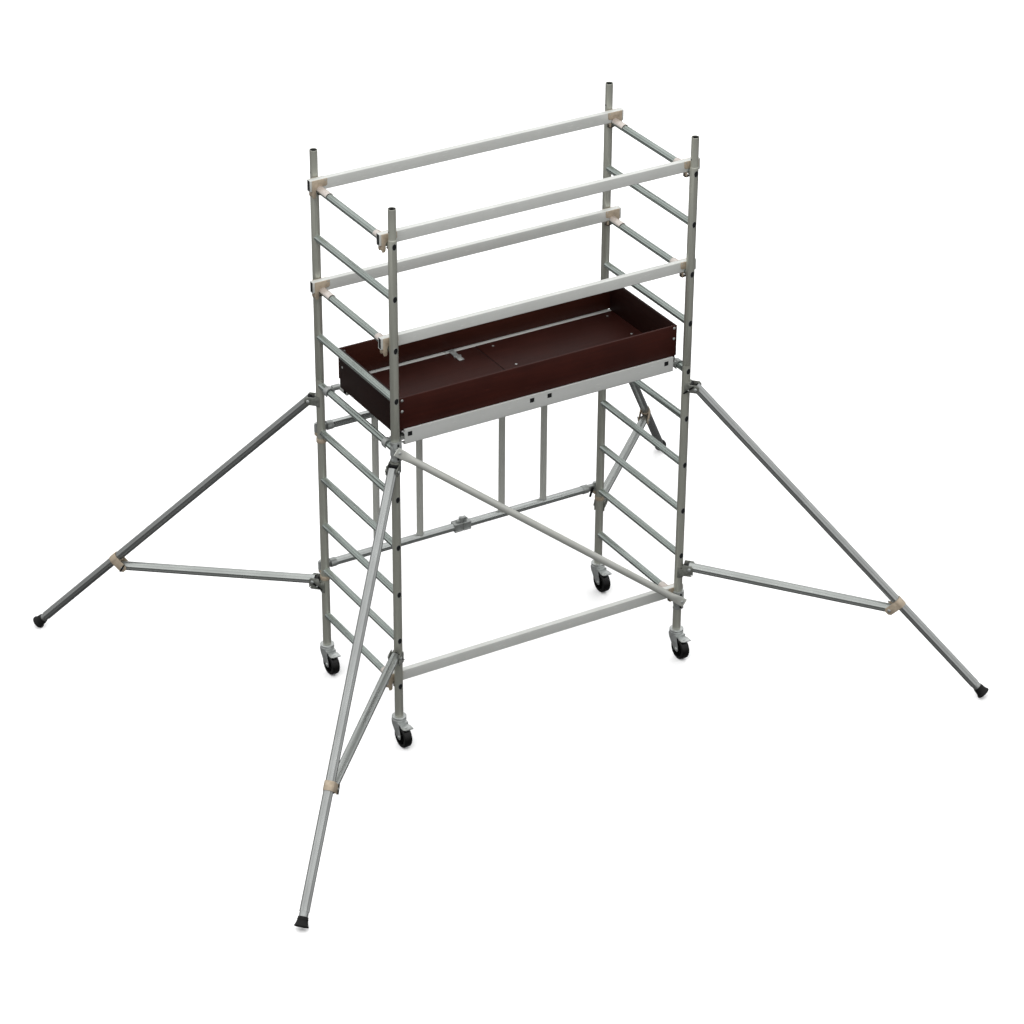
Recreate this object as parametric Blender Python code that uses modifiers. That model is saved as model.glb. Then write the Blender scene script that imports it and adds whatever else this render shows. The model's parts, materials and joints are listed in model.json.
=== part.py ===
"""Mobile tower scaffold: a folding base on braked casters, a second lift of ladder frames,
guardrails, a platform with a trapdoor and toe boards, one diagonal brace and four
telescopic stabilisers.

Metres, +Z up, the ground at z = 0. X runs along the platform, -Y is the front.
"""

import math

import bmesh
import bpy
from mathutils import Matrix, Vector

# Ladder frames
HALF_LENGTH = 0.868
HALF_WIDTH = 0.4075
POST_R = 0.0225
SPIGOT_R = 0.020
SOCKET_R = 0.0204
STEM_BORE_R = 0.0166
POST_FOOT = 0.168
LIFT_JOINT = 1.791
POST_TOP = 2.911
SPIGOT_TOP = 3.072
SPIGOT_LENGTH = 0.150
RUNG_R = 0.019
RUNG_BORE_R = 0.015
RUNG_PITCH = 0.28
FIRST_RUNG = 0.356
BASE_RUNGS = 6
UPPER_RUNGS = 4
GAP = 0.0003

# Guardrails and brace
RAIL_HALF = 0.923
RAIL_HEIGHT = 0.061
RAIL_THICK = 0.030
RAIL_WALL = 0.002
RAIL_Y = 0.363
RAIL_RISE = 0.028
CLAW_OUT = 0.913
CLAW_IN = 0.835
CLAW_DROP = 0.040
CLAW_CHEEK = 0.0045
BRACE_Y = 0.450
BRACE_R = 0.019

# Gate
GATE_Y = 0.455
GATE_TOP = 1.476
GATE_BOTTOM = 0.636
GATE_RAIL_R = 0.022
GATE_UPRIGHT_R = 0.0185
GATE_UPRIGHTS = (0.2575, 0.525)
PIN_R = 0.006
EAR_RISE = 0.0145

# Platform
BEAM_HALF = 0.800
BEAM_BOTTOM = 1.754
BEAM_TOP = 1.840
DECK_TOP = 1.838
BEAM_FRONT = -0.383
BEAM_REAR = 0.290
BOARD_HALF = 0.824
BOARD_FRONT = -0.371
BOARD_REAR = 0.278
BOARD_THICK = 0.012
BOARD_TOP = 2.013
END_BOARD_FOOT = 1.793
SEAM_X = -0.035

# Casters
WHEEL_R = 0.0625
WHEEL_HALF = 0.0225
TRAIL = 0.045

# Stabilisers
OUTRIGGER_R = 0.025
LEG_R = 0.0225
PIVOT_REACH = 0.058
OUTRIGGER_HEIGHT = 1.721
FOOT_REACH = 1.6955
FOOT_R = 0.0365
STRUT_HEIGHT = 0.570
STRUT_FALL = 0.0783
STRUT_BOLT_REACH = 0.064
STRUT_PIN_REACH = 1.157
BRACKET_REACH = 1.2015

for old in list(bpy.data.objects):
    bpy.data.objects.remove(old, do_unlink=True)

PARTS = bpy.data.collections.new("mobile_tower_scaffold")
bpy.context.scene.collection.children.link(PARTS)


# Building blocks: each returns a new mesh object, not yet in the parts collection.

def solid(mesh_maker):
    work = bmesh.new()
    mesh_maker(work)
    mesh = bpy.data.meshes.new("solid")
    work.to_mesh(mesh)
    work.free()
    made = bpy.data.objects.new("solid", mesh)
    bpy.context.scene.collection.objects.link(made)
    return made


def box(low, high):
    low = Vector(low)
    high = Vector(high)
    size = high - low
    place = Matrix.Translation((low + high) / 2) @ Matrix.Diagonal((*size, 1.0))
    return solid(lambda work: bmesh.ops.create_cube(work, size=1.0, matrix=place))


def rod(start, end, radius, sides=12, end_radius=None):
    """A round bar from start to end, tapering to end_radius where that is given."""
    start = Vector(start)
    run = Vector(end) - start
    spin = run.to_track_quat("Z", "Y").to_matrix().to_4x4()
    place = Matrix.Translation(start + run / 2) @ spin
    far = radius if end_radius is None else end_radius
    return solid(lambda work: bmesh.ops.create_cone(
        work, cap_ends=True, segments=sides, radius1=radius, radius2=far,
        depth=run.length, matrix=place))


def evaluated(made):
    """The object's mesh with its modifiers applied, in place of the object."""
    graph = bpy.context.evaluated_depsgraph_get()
    mesh = bpy.data.meshes.new_from_object(made.evaluated_get(graph))
    work = bmesh.new()
    work.from_mesh(mesh)
    bmesh.ops.remove_doubles(work, verts=work.verts, dist=0.00001)
    work.to_mesh(mesh)
    work.free()
    mesh.transform(made.matrix_world)
    bpy.data.objects.remove(made, do_unlink=True)
    fresh = bpy.data.objects.new("solid", mesh)
    bpy.context.scene.collection.objects.link(fresh)
    return fresh


def turned(profile, x=0.0, y=0.0, sides=16):
    """A closed (radius, z) outline turned about the vertical axis through x, y."""
    mesh = bpy.data.meshes.new("profile")
    points = [(radius, 0.0, z) for radius, z in profile]
    count = len(points)
    mesh.from_pydata(points, [(i, (i + 1) % count) for i in range(count)], [])
    made = bpy.data.objects.new("turned", mesh)
    bpy.context.scene.collection.objects.link(made)
    screw = made.modifiers.new("turn", "SCREW")
    screw.axis = "Z"
    screw.steps = sides
    screw.render_steps = sides
    screw.use_merge_vertices = True
    screw.merge_threshold = 0.00001
    made.location = (x, y, 0)
    bpy.context.view_layer.update()
    made = evaluated(made)
    work = bmesh.new()
    work.from_mesh(made.data)
    bmesh.ops.recalc_face_normals(work, faces=work.faces)
    work.to_mesh(made.data)
    work.free()
    return made


def plate(outline, thickness, place):
    """A flat outline, thick equally to both sides of its own XY plane, put where place says."""
    curve = bpy.data.curves.new("outline", "CURVE")
    curve.dimensions = "2D"
    curve.fill_mode = "BOTH"
    curve.extrude = thickness / 2
    line = curve.splines.new("POLY")
    line.points.add(len(outline) - 1)
    for point, (a, b) in zip(line.points, outline):
        point.co = (a, b, 0, 1)
    line.use_cyclic_u = True
    made = bpy.data.objects.new("plate", curve)
    bpy.context.scene.collection.objects.link(made)
    made.matrix_world = place
    bpy.context.view_layer.update()
    return evaluated(made)


# Planes for plates: outline (a, b) lies along the two named axes, thickness along the third.
ALONG_XZ = Matrix(((1, 0, 0, 0), (0, 0, -1, 0), (0, 1, 0, 0), (0, 0, 0, 1)))
ALONG_YZ = Matrix(((0, 0, 1, 0), (1, 0, 0, 0), (0, 1, 0, 0), (0, 0, 0, 1)))


def combine(target, others, operation):
    for other in others:
        step = target.modifiers.new("step", "BOOLEAN")
        step.operation = operation
        step.solver = "EXACT"
        step.object = other
        target = evaluated(target)
        bpy.data.objects.remove(other, do_unlink=True)
    return target


def join(target, *others):
    return combine(target, others, "UNION")


def cut(target, *others):
    return combine(target, others, "DIFFERENCE")


def moved(made, place):
    made.data.transform(place)
    return made


def material(name, colour, roughness, metallic):
    made = bpy.data.materials.new(name)
    made.use_nodes = True
    shader = made.node_tree.nodes["Principled BSDF"]
    shader.inputs["Base Color"].default_value = (*colour, 1.0)
    shader.inputs["Roughness"].default_value = roughness
    shader.inputs["Metallic"].default_value = metallic
    made.diffuse_color = (*colour, 1.0)
    return made


POST_METAL = ((0.20, 0.20, 0.175), 0.45, 0.8)
RAIL_METAL = ((0.50, 0.51, 0.50), 0.40, 0.9)
CAST_TAN = ((0.45, 0.38, 0.27), 0.50, 0.6)
ZINC = ((0.60, 0.61, 0.60), 0.35, 0.9)
DECK_BROWN = ((0.035, 0.014, 0.012), 0.60, 0.0)
BLACK = ((0.02, 0.02, 0.02), 0.70, 0.0)


def node(name, made, look, origin=(0, 0, 0)):
    """Names a finished piece, gives it its material and its origin, and keeps it."""
    made.data.transform(Matrix.Translation(-Vector(origin)))
    made.location = origin
    made.name = name
    made.data.name = name
    made.data.materials.clear()
    made.data.materials.append(material(name, *look))
    made.data.shade_smooth()
    made.data.set_sharp_from_angle(angle=math.radians(35))
    for holder in list(made.users_collection):
        holder.objects.unlink(made)
    PARTS.objects.link(made)
    return made


SIDES = (("left", -1), ("right", 1))
FACES = (("front", -1), ("rear", 1))


# Ladder frames: two posts joined by rungs whose open ends show on the posts' outer faces.

def post(y, x, foot, shoulder, tip, bore_r, bore_top):
    hollow = SPIGOT_R - 0.003
    return turned([
        (bore_r, foot), (POST_R, foot), (POST_R, shoulder), (SPIGOT_R, shoulder + 0.001),
        (SPIGOT_R, tip), (hollow, tip), (hollow, tip - 0.10), (0, tip - 0.10), (0, bore_top),
        (bore_r, bore_top),
    ], x, y)


def ladder_frame(x, foot, shoulder, tip, bore_r, bore_top, first_rung, rungs):
    frame = post(-HALF_WIDTH, x, foot, shoulder, tip, bore_r, bore_top)
    frame = join(frame, post(HALF_WIDTH, x, foot, shoulder, tip, bore_r, bore_top))
    for i in range(rungs):
        z = first_rung + i * RUNG_PITCH
        frame = join(frame, rod((x, -HALF_WIDTH, z), (x, HALF_WIDTH, z), RUNG_R, 12))
        reach = HALF_WIDTH + 0.05
        frame = cut(frame, rod((x, -reach, z), (x, reach, z), RUNG_BORE_R, 8))
    return frame


BASE_TIP = LIFT_JOINT + SPIGOT_LENGTH
UPPER_FIRST = FIRST_RUNG + BASE_RUNGS * RUNG_PITCH
for side, sx in SIDES:
    x = sx * HALF_LENGTH
    node("base_frame_" + side, ladder_frame(
        x, POST_FOOT, LIFT_JOINT, BASE_TIP, STEM_BORE_R, 0.30, FIRST_RUNG, BASE_RUNGS), POST_METAL)
    node("upper_frame_" + side, ladder_frame(
        x, LIFT_JOINT + 0.0015, POST_TOP, SPIGOT_TOP, SOCKET_R, BASE_TIP + 0.004,
        UPPER_FIRST, UPPER_RUNGS), POST_METAL)


# Guardrails: hollow rails notched over the rungs, with a cast claw clipped round each rung.

def guardrail(y, rung_z):
    z = rung_z + RAIL_RISE
    half_y = RAIL_THICK / 2
    half_z = RAIL_HEIGHT / 2
    rail = box((-RAIL_HALF, y - half_y, z - half_z), (RAIL_HALF, y + half_y, z + half_z))
    for sx in (-1, 1):
        ends = sorted((sx * CLAW_IN, sx * CLAW_OUT))
        reach = half_y + CLAW_CHEEK
        claw = plate([
            (ends[0], rung_z + 0.030), (ends[0] + 0.012, rung_z - CLAW_DROP + 0.008),
            (ends[0] + 0.022, rung_z - CLAW_DROP), (ends[1] - 0.022, rung_z - CLAW_DROP),
            (ends[1] - 0.008, rung_z - CLAW_DROP + 0.012), (ends[1], rung_z + 0.030),
        ], 2 * reach, Matrix.Translation((0, y, 0)) @ ALONG_XZ)
        rail = join(rail, claw)
    inner_y = half_y - RAIL_WALL
    inner_z = half_z - RAIL_WALL
    rail = cut(rail, box((-1, y - inner_y, z - inner_z), (1, y + inner_y, z + inner_z)))
    for sx in (-1, 1):
        x = sx * HALF_LENGTH
        rail = cut(rail, rod((x, y - 0.04, rung_z), (x, y + 0.04, rung_z), RUNG_R + 0.0004, 12))
        rail = cut(rail, box((x - 0.016, y - 0.04, rung_z - 0.06), (x + 0.016, y + 0.04, rung_z)))
    return rail


TOP_RUNG = UPPER_FIRST + 3 * RUNG_PITCH
MIDDLE_RUNG = UPPER_FIRST + RUNG_PITCH
for level, rung_z in (("top", TOP_RUNG), ("middle", MIDDLE_RUNG)):
    for face, sy in FACES:
        node(f"guardrail_{level}_{face}", guardrail(sy * RAIL_Y, rung_z), RAIL_METAL)
node("bottom_brace", guardrail(-RAIL_Y, FIRST_RUNG), RAIL_METAL)


# Diagonal brace: a tube with flattened ends riveted to C claws that clip round two posts.

BRACE_HIGH = FIRST_RUNG + 5 * RUNG_PITCH


def brace_claw(x, z):
    """A block round the front post, open towards the front, that holds the brace's end."""
    low = z - 0.055
    high = z + 0.055
    claw = box((x - 0.029, -HALF_WIDTH - 0.031, low), (x + 0.029, -HALF_WIDTH + 0.002, high))
    claw = cut(claw, rod((x, -HALF_WIDTH, low - 0.01), (x, -HALF_WIDTH, high + 0.01), POST_R + 0.0006, 16))
    ear = box((x - 0.020, -BRACE_Y - 0.0015, z - 0.022), (x + 0.020, -HALF_WIDTH - 0.027, z + 0.022))
    return join(claw, ear)


def diagonal_brace():
    high = Vector((-HALF_LENGTH, -BRACE_Y, BRACE_HIGH))
    low = Vector((HALF_LENGTH, -BRACE_Y, FIRST_RUNG))
    along = (low - high).normalized()
    tube = rod(high + along * 0.085, low - along * 0.085, BRACE_R, 12)
    for end, way in ((high, along), (low, -along)):
        turn = Matrix.Rotation(math.atan2(way.z, way.x), 4, "Z")
        flat = plate([
            (-0.024, -0.018), (0.050, -0.024), (0.105, -0.017), (0.105, 0.017),
            (0.050, 0.024), (-0.024, 0.018),
        ], 0.006, Matrix.Translation(end) @ ALONG_XZ @ turn)
        tube = join(tube, flat)
    tube = join(tube, brace_claw(-HALF_LENGTH, BRACE_HIGH))
    tube = join(tube, brace_claw(HALF_LENGTH, FIRST_RUNG))
    for end in (high, low):
        tube = join(tube, rod(end + Vector((0, -0.008, 0)), end + Vector((0, 0.006, 0)), 0.008, 10))
    return tube


node("diagonal_brace", diagonal_brace(), RAIL_METAL)


# Folding gate: two halves hinged at the middle and on pins behind the rear posts.

KNUCKLE_LOW = {GATE_TOP: 1.4545, GATE_BOTTOM: 0.6145}
KNUCKLE_TALL = 0.046


def middle_knuckle(rails, sx, top):
    """One leaf of the middle hinge on top of a coupling: the left leaf is the lower and holds the pin."""
    low = top + (0.0006 if sx < 0 else 0.0132)
    high = low + 0.012
    arm = box((min(0, sx * 0.030), GATE_Y - 0.010, low), (max(0, sx * 0.030), GATE_Y + 0.010, high))
    root = box((min(sx * 0.014, sx * 0.030), GATE_Y - 0.010, top - 0.004),
               (max(sx * 0.014, sx * 0.030), GATE_Y + 0.010, high))
    rails = join(rails, root, join(arm, rod((0, GATE_Y, low), (0, GATE_Y, high), 0.014, 12)))
    if sx < 0:
        return join(rails, rod((0, GATE_Y, low + 0.004), (0, GATE_Y, top + 0.030), PIN_R, 10))
    return cut(rails, rod((0, GATE_Y, low - 0.01), (0, GATE_Y, high + 0.01), PIN_R + 0.0006, 10))


def gate_half(sx):
    rails = None
    for z in (GATE_TOP, GATE_BOTTOM):
        rail = rod((sx * 0.010, GATE_Y, z), (sx * 0.815, GATE_Y, z), GATE_RAIL_R, 10)
        rails = rail if rails is None else join(rails, rail)
    for x in GATE_UPRIGHTS:
        upright = rod((sx * x, GATE_Y, GATE_BOTTOM), (sx * x, GATE_Y, GATE_TOP), GATE_UPRIGHT_R, 10)
        rails = join(rails, upright)
    for z in (GATE_TOP, GATE_BOTTOM):
        near = sorted((sx * 0.0006, sx * 0.052))
        coupling = box((near[0], GATE_Y - 0.024, z - 0.024), (near[1], GATE_Y + 0.024, z + 0.024))
        rails = join(rails, coupling)
        rails = middle_knuckle(rails, sx, z + 0.024)
        low = KNUCKLE_LOW[z]
        fitting = box((min(sx * 0.795, sx * 0.862), GATE_Y - 0.013, z - 0.018),
                      (max(sx * 0.795, sx * 0.862), GATE_Y + 0.013, z + 0.018))
        pin_x = sx * HALF_LENGTH
        barrel = rod((pin_x, GATE_Y, low), (pin_x, GATE_Y, low + KNUCKLE_TALL), 0.016, 12)
        rails = join(rails, fitting, barrel)
        bore = rod((pin_x, GATE_Y, low - 0.01), (pin_x, GATE_Y, low + 0.06), PIN_R + 0.0006, 10)
        rails = cut(rails, bore)
    return rails


def gate_bracket(sx, z):
    """A ring round the rear post just below a rung, with an ear and the gate's pin behind it."""
    x = sx * HALF_LENGTH
    low = KNUCKLE_LOW[z]
    bottom = z - 0.0585
    top = z - 0.0225
    ring = rod((x, HALF_WIDTH, bottom), (x, HALF_WIDTH, z - 0.0355), 0.0275, 12)
    ear = box((x - 0.012, HALF_WIDTH + 0.0240, bottom + EAR_RISE), (x + 0.012, GATE_Y + 0.013, top))
    ring = join(ring, ear)
    bore = rod((x, HALF_WIDTH, bottom - 0.01), (x, HALF_WIDTH, top + 0.01), POST_R + 0.0012, 12)
    ring = cut(ring, bore)
    return join(ring, rod((x, GATE_Y, top - 0.010), (x, GATE_Y, low + KNUCKLE_TALL + 0.008), PIN_R, 10))


for side, sx in SIDES:
    node("gate_" + side, gate_half(sx), POST_METAL)
    node("gate_bracket_top_" + side, gate_bracket(sx, GATE_TOP), CAST_TAN)
    node("gate_bracket_bottom_" + side, gate_bracket(sx, GATE_BOTTOM), CAST_TAN)


# Platform: two side beams with hooks on the rungs, cross members, deck, trapdoor and toe boards.

HOOK_RUNG = FIRST_RUNG + 5 * RUNG_PITCH
HOOK_TOP = 1.7835
MEMBER_FOOT = 1.762
HOOK_HALF = 0.016
HOOK_Y = {"front": -0.325, "rear": 0.3075}
SLOT_X = (-0.769, -0.057, 0.047, 0.758)
SLOT_Z = 1.810
SLOT_HALF = 0.0135


def ordered(first, second):
    """The low and high corners of a box given by any two opposite corners."""
    return tuple(map(min, first, second)), tuple(map(max, first, second))


def beam(outer_y, inward):
    """A C section 86 mm tall; its web faces out and its flanges run inward (+1 or -1 along Y)."""
    web = 0.004
    lip = BEAM_TOP - 0.006
    profile = [
        (0, BEAM_BOTTOM + 0.006), (0.006, BEAM_BOTTOM), (0.036, BEAM_BOTTOM),
        (0.036, BEAM_BOTTOM + web), (web, BEAM_BOTTOM + web + 0.002), (web, lip - 0.014),
        (0.048, lip - 0.014), (0.048, lip - 0.011), (0.0105, lip - 0.011), (0.0105, BEAM_TOP),
        (0, BEAM_TOP),
    ]
    outline = [(outer_y + inward * a, b) for a, b in profile]
    made = plate(outline, 2 * BEAM_HALF, ALONG_YZ)
    for x in SLOT_X:
        slot = box(*ordered(
            (x - SLOT_HALF, outer_y - inward * 0.02, SLOT_Z - SLOT_HALF),
            (x + SLOT_HALF, outer_y + inward * 0.007, SLOT_Z + SLOT_HALF)))
        made = cut(made, slot)
    return made


def platform_end(sx):
    """The cross member under one end of the deck, with the two hooks that drop over the rung."""
    bar = box(*ordered(
        (sx * 0.768, BEAM_FRONT + 0.0365, MEMBER_FOOT), (sx * 0.798, BEAM_REAR - 0.0365, HOOK_TOP)))
    block = box(*ordered((sx * 0.795, 0.215, MEMBER_FOOT), (sx * 0.812, BEAM_REAR - 0.0375, HOOK_TOP)))
    link = box(*ordered((sx * 0.8015, 0.220, 1.7575), (sx * 0.812, 0.3235, HOOK_TOP)))
    bar = join(join(bar, block), link)
    x = sx * HALF_LENGTH
    for y, root in ((HOOK_Y["front"], 0.772), (HOOK_Y["rear"], 0.803)):
        low = y - HOOK_HALF
        high = y + HOOK_HALF
        arm = box(*ordered((sx * root, low, 1.7625), (sx * 0.850, high, HOOK_TOP)))
        ring = rod((x, low, HOOK_RUNG), (x, high, HOOK_RUNG), 0.0275, 16)
        bar = join(bar, arm, ring)
        eye = rod((x, low - 0.01, HOOK_RUNG), (x, high + 0.01, HOOK_RUNG), RUNG_R + 0.0006, 16)
        throat = box((x - 0.0165, low - 0.01, HOOK_RUNG - 0.04), (x + 0.0165, high + 0.01, HOOK_RUNG))
        bar = cut(cut(bar, eye), throat)
    return bar


node("beam_front", beam(BEAM_FRONT, 1), RAIL_METAL)
node("beam_rear", beam(BEAM_REAR, -1), RAIL_METAL)

LEDGE = 1.826
for side, sx in SIDES:
    node("cross_member_" + side, platform_end(sx), RAIL_METAL)

DECK_FRONT = BEAM_FRONT + 0.0245
DECK_REAR = BEAM_REAR - 0.0245
ANGLE_X = BOARD_HALF - BOARD_THICK - 0.0006
HINGE_Y = -0.331
STRIP_Y = 0.243
node("deck_fixed", join(
    box((SEAM_X + 0.0015, HINGE_Y + 0.008, LEDGE - 0.0025), (ANGLE_X, DECK_REAR, DECK_TOP)),
    box((-ANGLE_X, DECK_FRONT, LEDGE - 0.0025), (ANGLE_X, HINGE_Y - 0.006, DECK_TOP)),
    box((0.3, DECK_FRONT + 0.001, LEDGE - 0.0025), (ANGLE_X, HINGE_Y + 0.05, DECK_TOP)),
    box((-ANGLE_X, STRIP_Y, LEDGE - 0.0025), (0.05, DECK_REAR, DECK_TOP)),
), DECK_BROWN)


def trapdoor():
    door = box((-ANGLE_X, HINGE_Y + 0.002, LEDGE - 0.002), (SEAM_X - 0.0015, STRIP_Y - 0.0015, DECK_TOP))
    staple = box((-0.196, 0.175, DECK_TOP - 0.004), (-0.154, 0.187, DECK_TOP + 0.0085))
    staple = cut(staple, box((-0.1905, 0.16, DECK_TOP - 0.001), (-0.1595, 0.20, DECK_TOP + 0.0065)))
    return join(door, staple)


node("trapdoor", trapdoor(), DECK_BROWN, (0, HINGE_Y, DECK_TOP))
node("trapdoor_latch", join(
    box((-0.190, 0.133, DECK_TOP + 0.0005), (-0.160, 0.250, DECK_TOP + 0.0060)),
    box((-0.210, 0.246, DECK_TOP + 0.0005), (-0.140, 0.262, DECK_TOP + 0.0060)),
), ZINC, (-0.175, 0.133, DECK_TOP + 0.004))

for face, low, high in (("front", BOARD_FRONT, BOARD_FRONT + BOARD_THICK),
                        ("rear", BOARD_REAR - BOARD_THICK, BOARD_REAR)):
    node("toe_board_" + face, box(
        (-BOARD_HALF, low, BEAM_TOP + 0.0003), (BOARD_HALF, high, BOARD_TOP)), DECK_BROWN)
for side, sx in SIDES:
    ends = sorted((sx * (BOARD_HALF - BOARD_THICK), sx * BOARD_HALF))
    node("toe_board_" + side, box(
        (ends[0], BOARD_FRONT + BOARD_THICK + GAP, END_BOARD_FOOT),
        (ends[1], BOARD_REAR - BOARD_THICK - GAP, BOARD_TOP)), BLACK)


# Casters: a stemmed fork that swivels in the post's foot, a wheel and a brake pedal.

PEDAL_PIN_Y = -0.0405
PEDAL_PIN_R = 0.0022
PEDAL_Z = 0.1315


def caster_fork(x, y):
    body = turned([
        (0, 0.290), (0.0160, 0.290), (0.0160, 0.1672), (0.0385, 0.1672), (0.0385, 0.1365), (0, 0.1365),
    ], x, y, 16)
    for sx in (-1, 1):
        cheek = plate([
            (0.030, 0.141), (0.030, 0.120), (-0.030, 0.050), (-TRAIL, 0.046), (-0.060, 0.056),
            (-0.060, 0.075), (-0.042, 0.126), (-0.042, 0.141),
        ], 0.003, Matrix.Translation((x + sx * 0.0265, y, 0)) @ ALONG_YZ)
        body = join(body, cheek)
    axle = rod((x - 0.031, y - TRAIL, WHEEL_R), (x + 0.031, y - TRAIL, WHEEL_R), PIN_R, 10)
    pin_y = y + PEDAL_PIN_Y
    pin = rod((x - 0.0275, pin_y, PEDAL_Z), (x + 0.0275, pin_y, PEDAL_Z), PEDAL_PIN_R, 8)
    return join(body, axle, pin)


def caster_wheel(x, y):
    rim = WHEEL_R - 0.004
    hub = WHEEL_HALF + 0.0005
    made = turned([
        (PIN_R + 0.0005, -hub), (0.018, -hub), (0.030, -0.015), (0.046, -WHEEL_HALF),
        (rim, -WHEEL_HALF), (WHEEL_R, -0.017), (WHEEL_R, 0.017), (rim, WHEEL_HALF),
        (0.046, WHEEL_HALF), (0.030, 0.015), (0.018, hub), (PIN_R + 0.0005, hub),
    ], sides=16)
    lay = Matrix.Translation((x, y - TRAIL, WHEEL_R)) @ Matrix.Rotation(math.pi / 2, 4, "Y")
    return moved(made, lay)


def brake_pedal(x, y):
    pin_y = y + PEDAL_PIN_Y
    tread = plate([
        (x - 0.029, y - 0.098), (x - 0.018, y - 0.104), (x + 0.029, y - 0.104),
        (x + 0.029, y - 0.066), (x + 0.0242, y - 0.062), (x + 0.0242, pin_y - 0.006),
        (x - 0.0242, pin_y - 0.006), (x - 0.0242, y - 0.062), (x - 0.029, y - 0.066),
    ], 0.006, Matrix.Translation((0, 0, PEDAL_Z)))
    barrel = rod((x - 0.0240, pin_y, PEDAL_Z), (x + 0.0240, pin_y, PEDAL_Z), 0.0045, 10)
    neck = box((x - 0.020, pin_y - 0.010, PEDAL_Z - 0.002), (x + 0.020, pin_y, PEDAL_Z + 0.002))
    tread = join(tread, barrel, neck)
    return cut(tread, rod((x - 0.04, pin_y, PEDAL_Z), (x + 0.04, pin_y, PEDAL_Z), PEDAL_PIN_R + 0.0004, 8))


for face, sy in FACES:
    for side, sx in SIDES:
        x = sx * HALF_LENGTH
        y = sy * HALF_WIDTH
        end = f"{face}_{side}"
        node("caster_fork_" + end, caster_fork(x, y), ZINC, (x, y, 0.154))
        node("caster_wheel_" + end, caster_wheel(x, y), BLACK, (x, y - TRAIL, WHEEL_R))
        node("caster_pedal_" + end, brake_pedal(x, y), ZINC, (x, y + PEDAL_PIN_Y, PEDAL_Z))


# Stabilisers, modelled reaching out along +X from a post on the Z axis, then turned and placed.

DOWN = Vector((1, 0, -1)).normalized()
BOLT_R = 0.005
BOLT_HOLE_R = 0.0056


def on_outrigger(reach):
    return Vector((reach, 0, OUTRIGGER_HEIGHT - reach))


def on_strut(reach):
    return Vector((reach, 0, STRUT_HEIGHT - STRUT_FALL * reach))


def bolt(at, half, radius=BOLT_R):
    return rod(at - Vector((0, half, 0)), at + Vector((0, half, 0)), radius, 8)


FOOT_BASE = Vector((FOOT_REACH, 0, 0.0258))
TUBE_END = FOOT_BASE - DOWN * 0.0735


def outrigger():
    pivot = on_outrigger(PIVOT_REACH)
    start = pivot - DOWN * 0.011
    tube = rod(start, TUBE_END, OUTRIGGER_R, 12)
    middle = on_outrigger(BRACKET_REACH)
    band = rod(middle - DOWN * 0.025, middle + DOWN * 0.025, OUTRIGGER_R + 0.004, 12)
    tube = join(tube, band)
    tilt = Matrix.Translation(middle) @ ALONG_XZ @ Matrix.Rotation(math.radians(-135), 4, "Z")
    for sy in (-1, 1):
        cheek = plate([(0.0, -0.025), (0.070, -0.025), (0.082, -0.013), (0.082, 0.013),
                       (0.070, 0.025), (0.0, 0.025)], 0.0035,
                      Matrix.Translation((0, sy * 0.0275, 0)) @ tilt)
        tube = join(tube, cheek)
    tube = cut(tube, rod(start - DOWN * 0.02, TUBE_END + DOWN * 0.02, LEG_R + 0.0005, 16))
    tube = join(tube, bolt(on_strut(STRUT_PIN_REACH), 0.034))
    return cut(tube, bolt(pivot, 0.05, BOLT_HOLE_R))


def leg():
    """The telescopic inner tube and its rubber foot, which grows towards its base."""
    tube = rod(TUBE_END - DOWN * 0.66, FOOT_BASE - DOWN * 0.030, LEG_R, 12)
    foot = rod(FOOT_BASE - DOWN * 0.050, FOOT_BASE, 0.025, 12, end_radius=FOOT_R)
    return join(tube, foot)


def strut():
    along = (on_strut(1) - on_strut(0)).normalized()
    tube = rod(on_strut(0.049), on_strut(1.172), OUTRIGGER_R, 12)
    inside = rod(on_strut(0.049) - along * 0.02, on_strut(1.172) + along * 0.02, 0.0225, 12)
    tube = cut(tube, inside)
    for reach in (STRUT_BOLT_REACH, STRUT_PIN_REACH):
        tube = cut(tube, bolt(on_strut(reach), 0.05, BOLT_HOLE_R))
    return tube


def clamp(low, high, pivot, ear_low, ear_high):
    """A band round the post with two ears, between which a tube is bolted."""
    band = rod((0, 0, low), (0, 0, high), 0.0295, 12)
    for sy in (-1, 1):
        end = pivot.x + 0.020
        ear = plate([
            (0.004, ear_low), (end - 0.008, ear_low), (end, ear_low + 0.012), (end, ear_high - 0.012),
            (end - 0.008, ear_high), (0.026, ear_high), (0.022, high - 0.003), (0.004, high - 0.003),
        ], 0.005, Matrix.Translation((0, sy * 0.0285, 0)) @ ALONG_XZ)
        band = join(band, ear)
    band = cut(band, rod((0, 0, low - 0.05), (0, 0, high + 0.05), POST_R + 0.0012, 12))
    band = cut(band, box((-0.05, -0.05, low - 0.05), (-0.003, 0.05, high + 0.05)))
    return join(band, bolt(pivot, 0.036))


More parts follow.
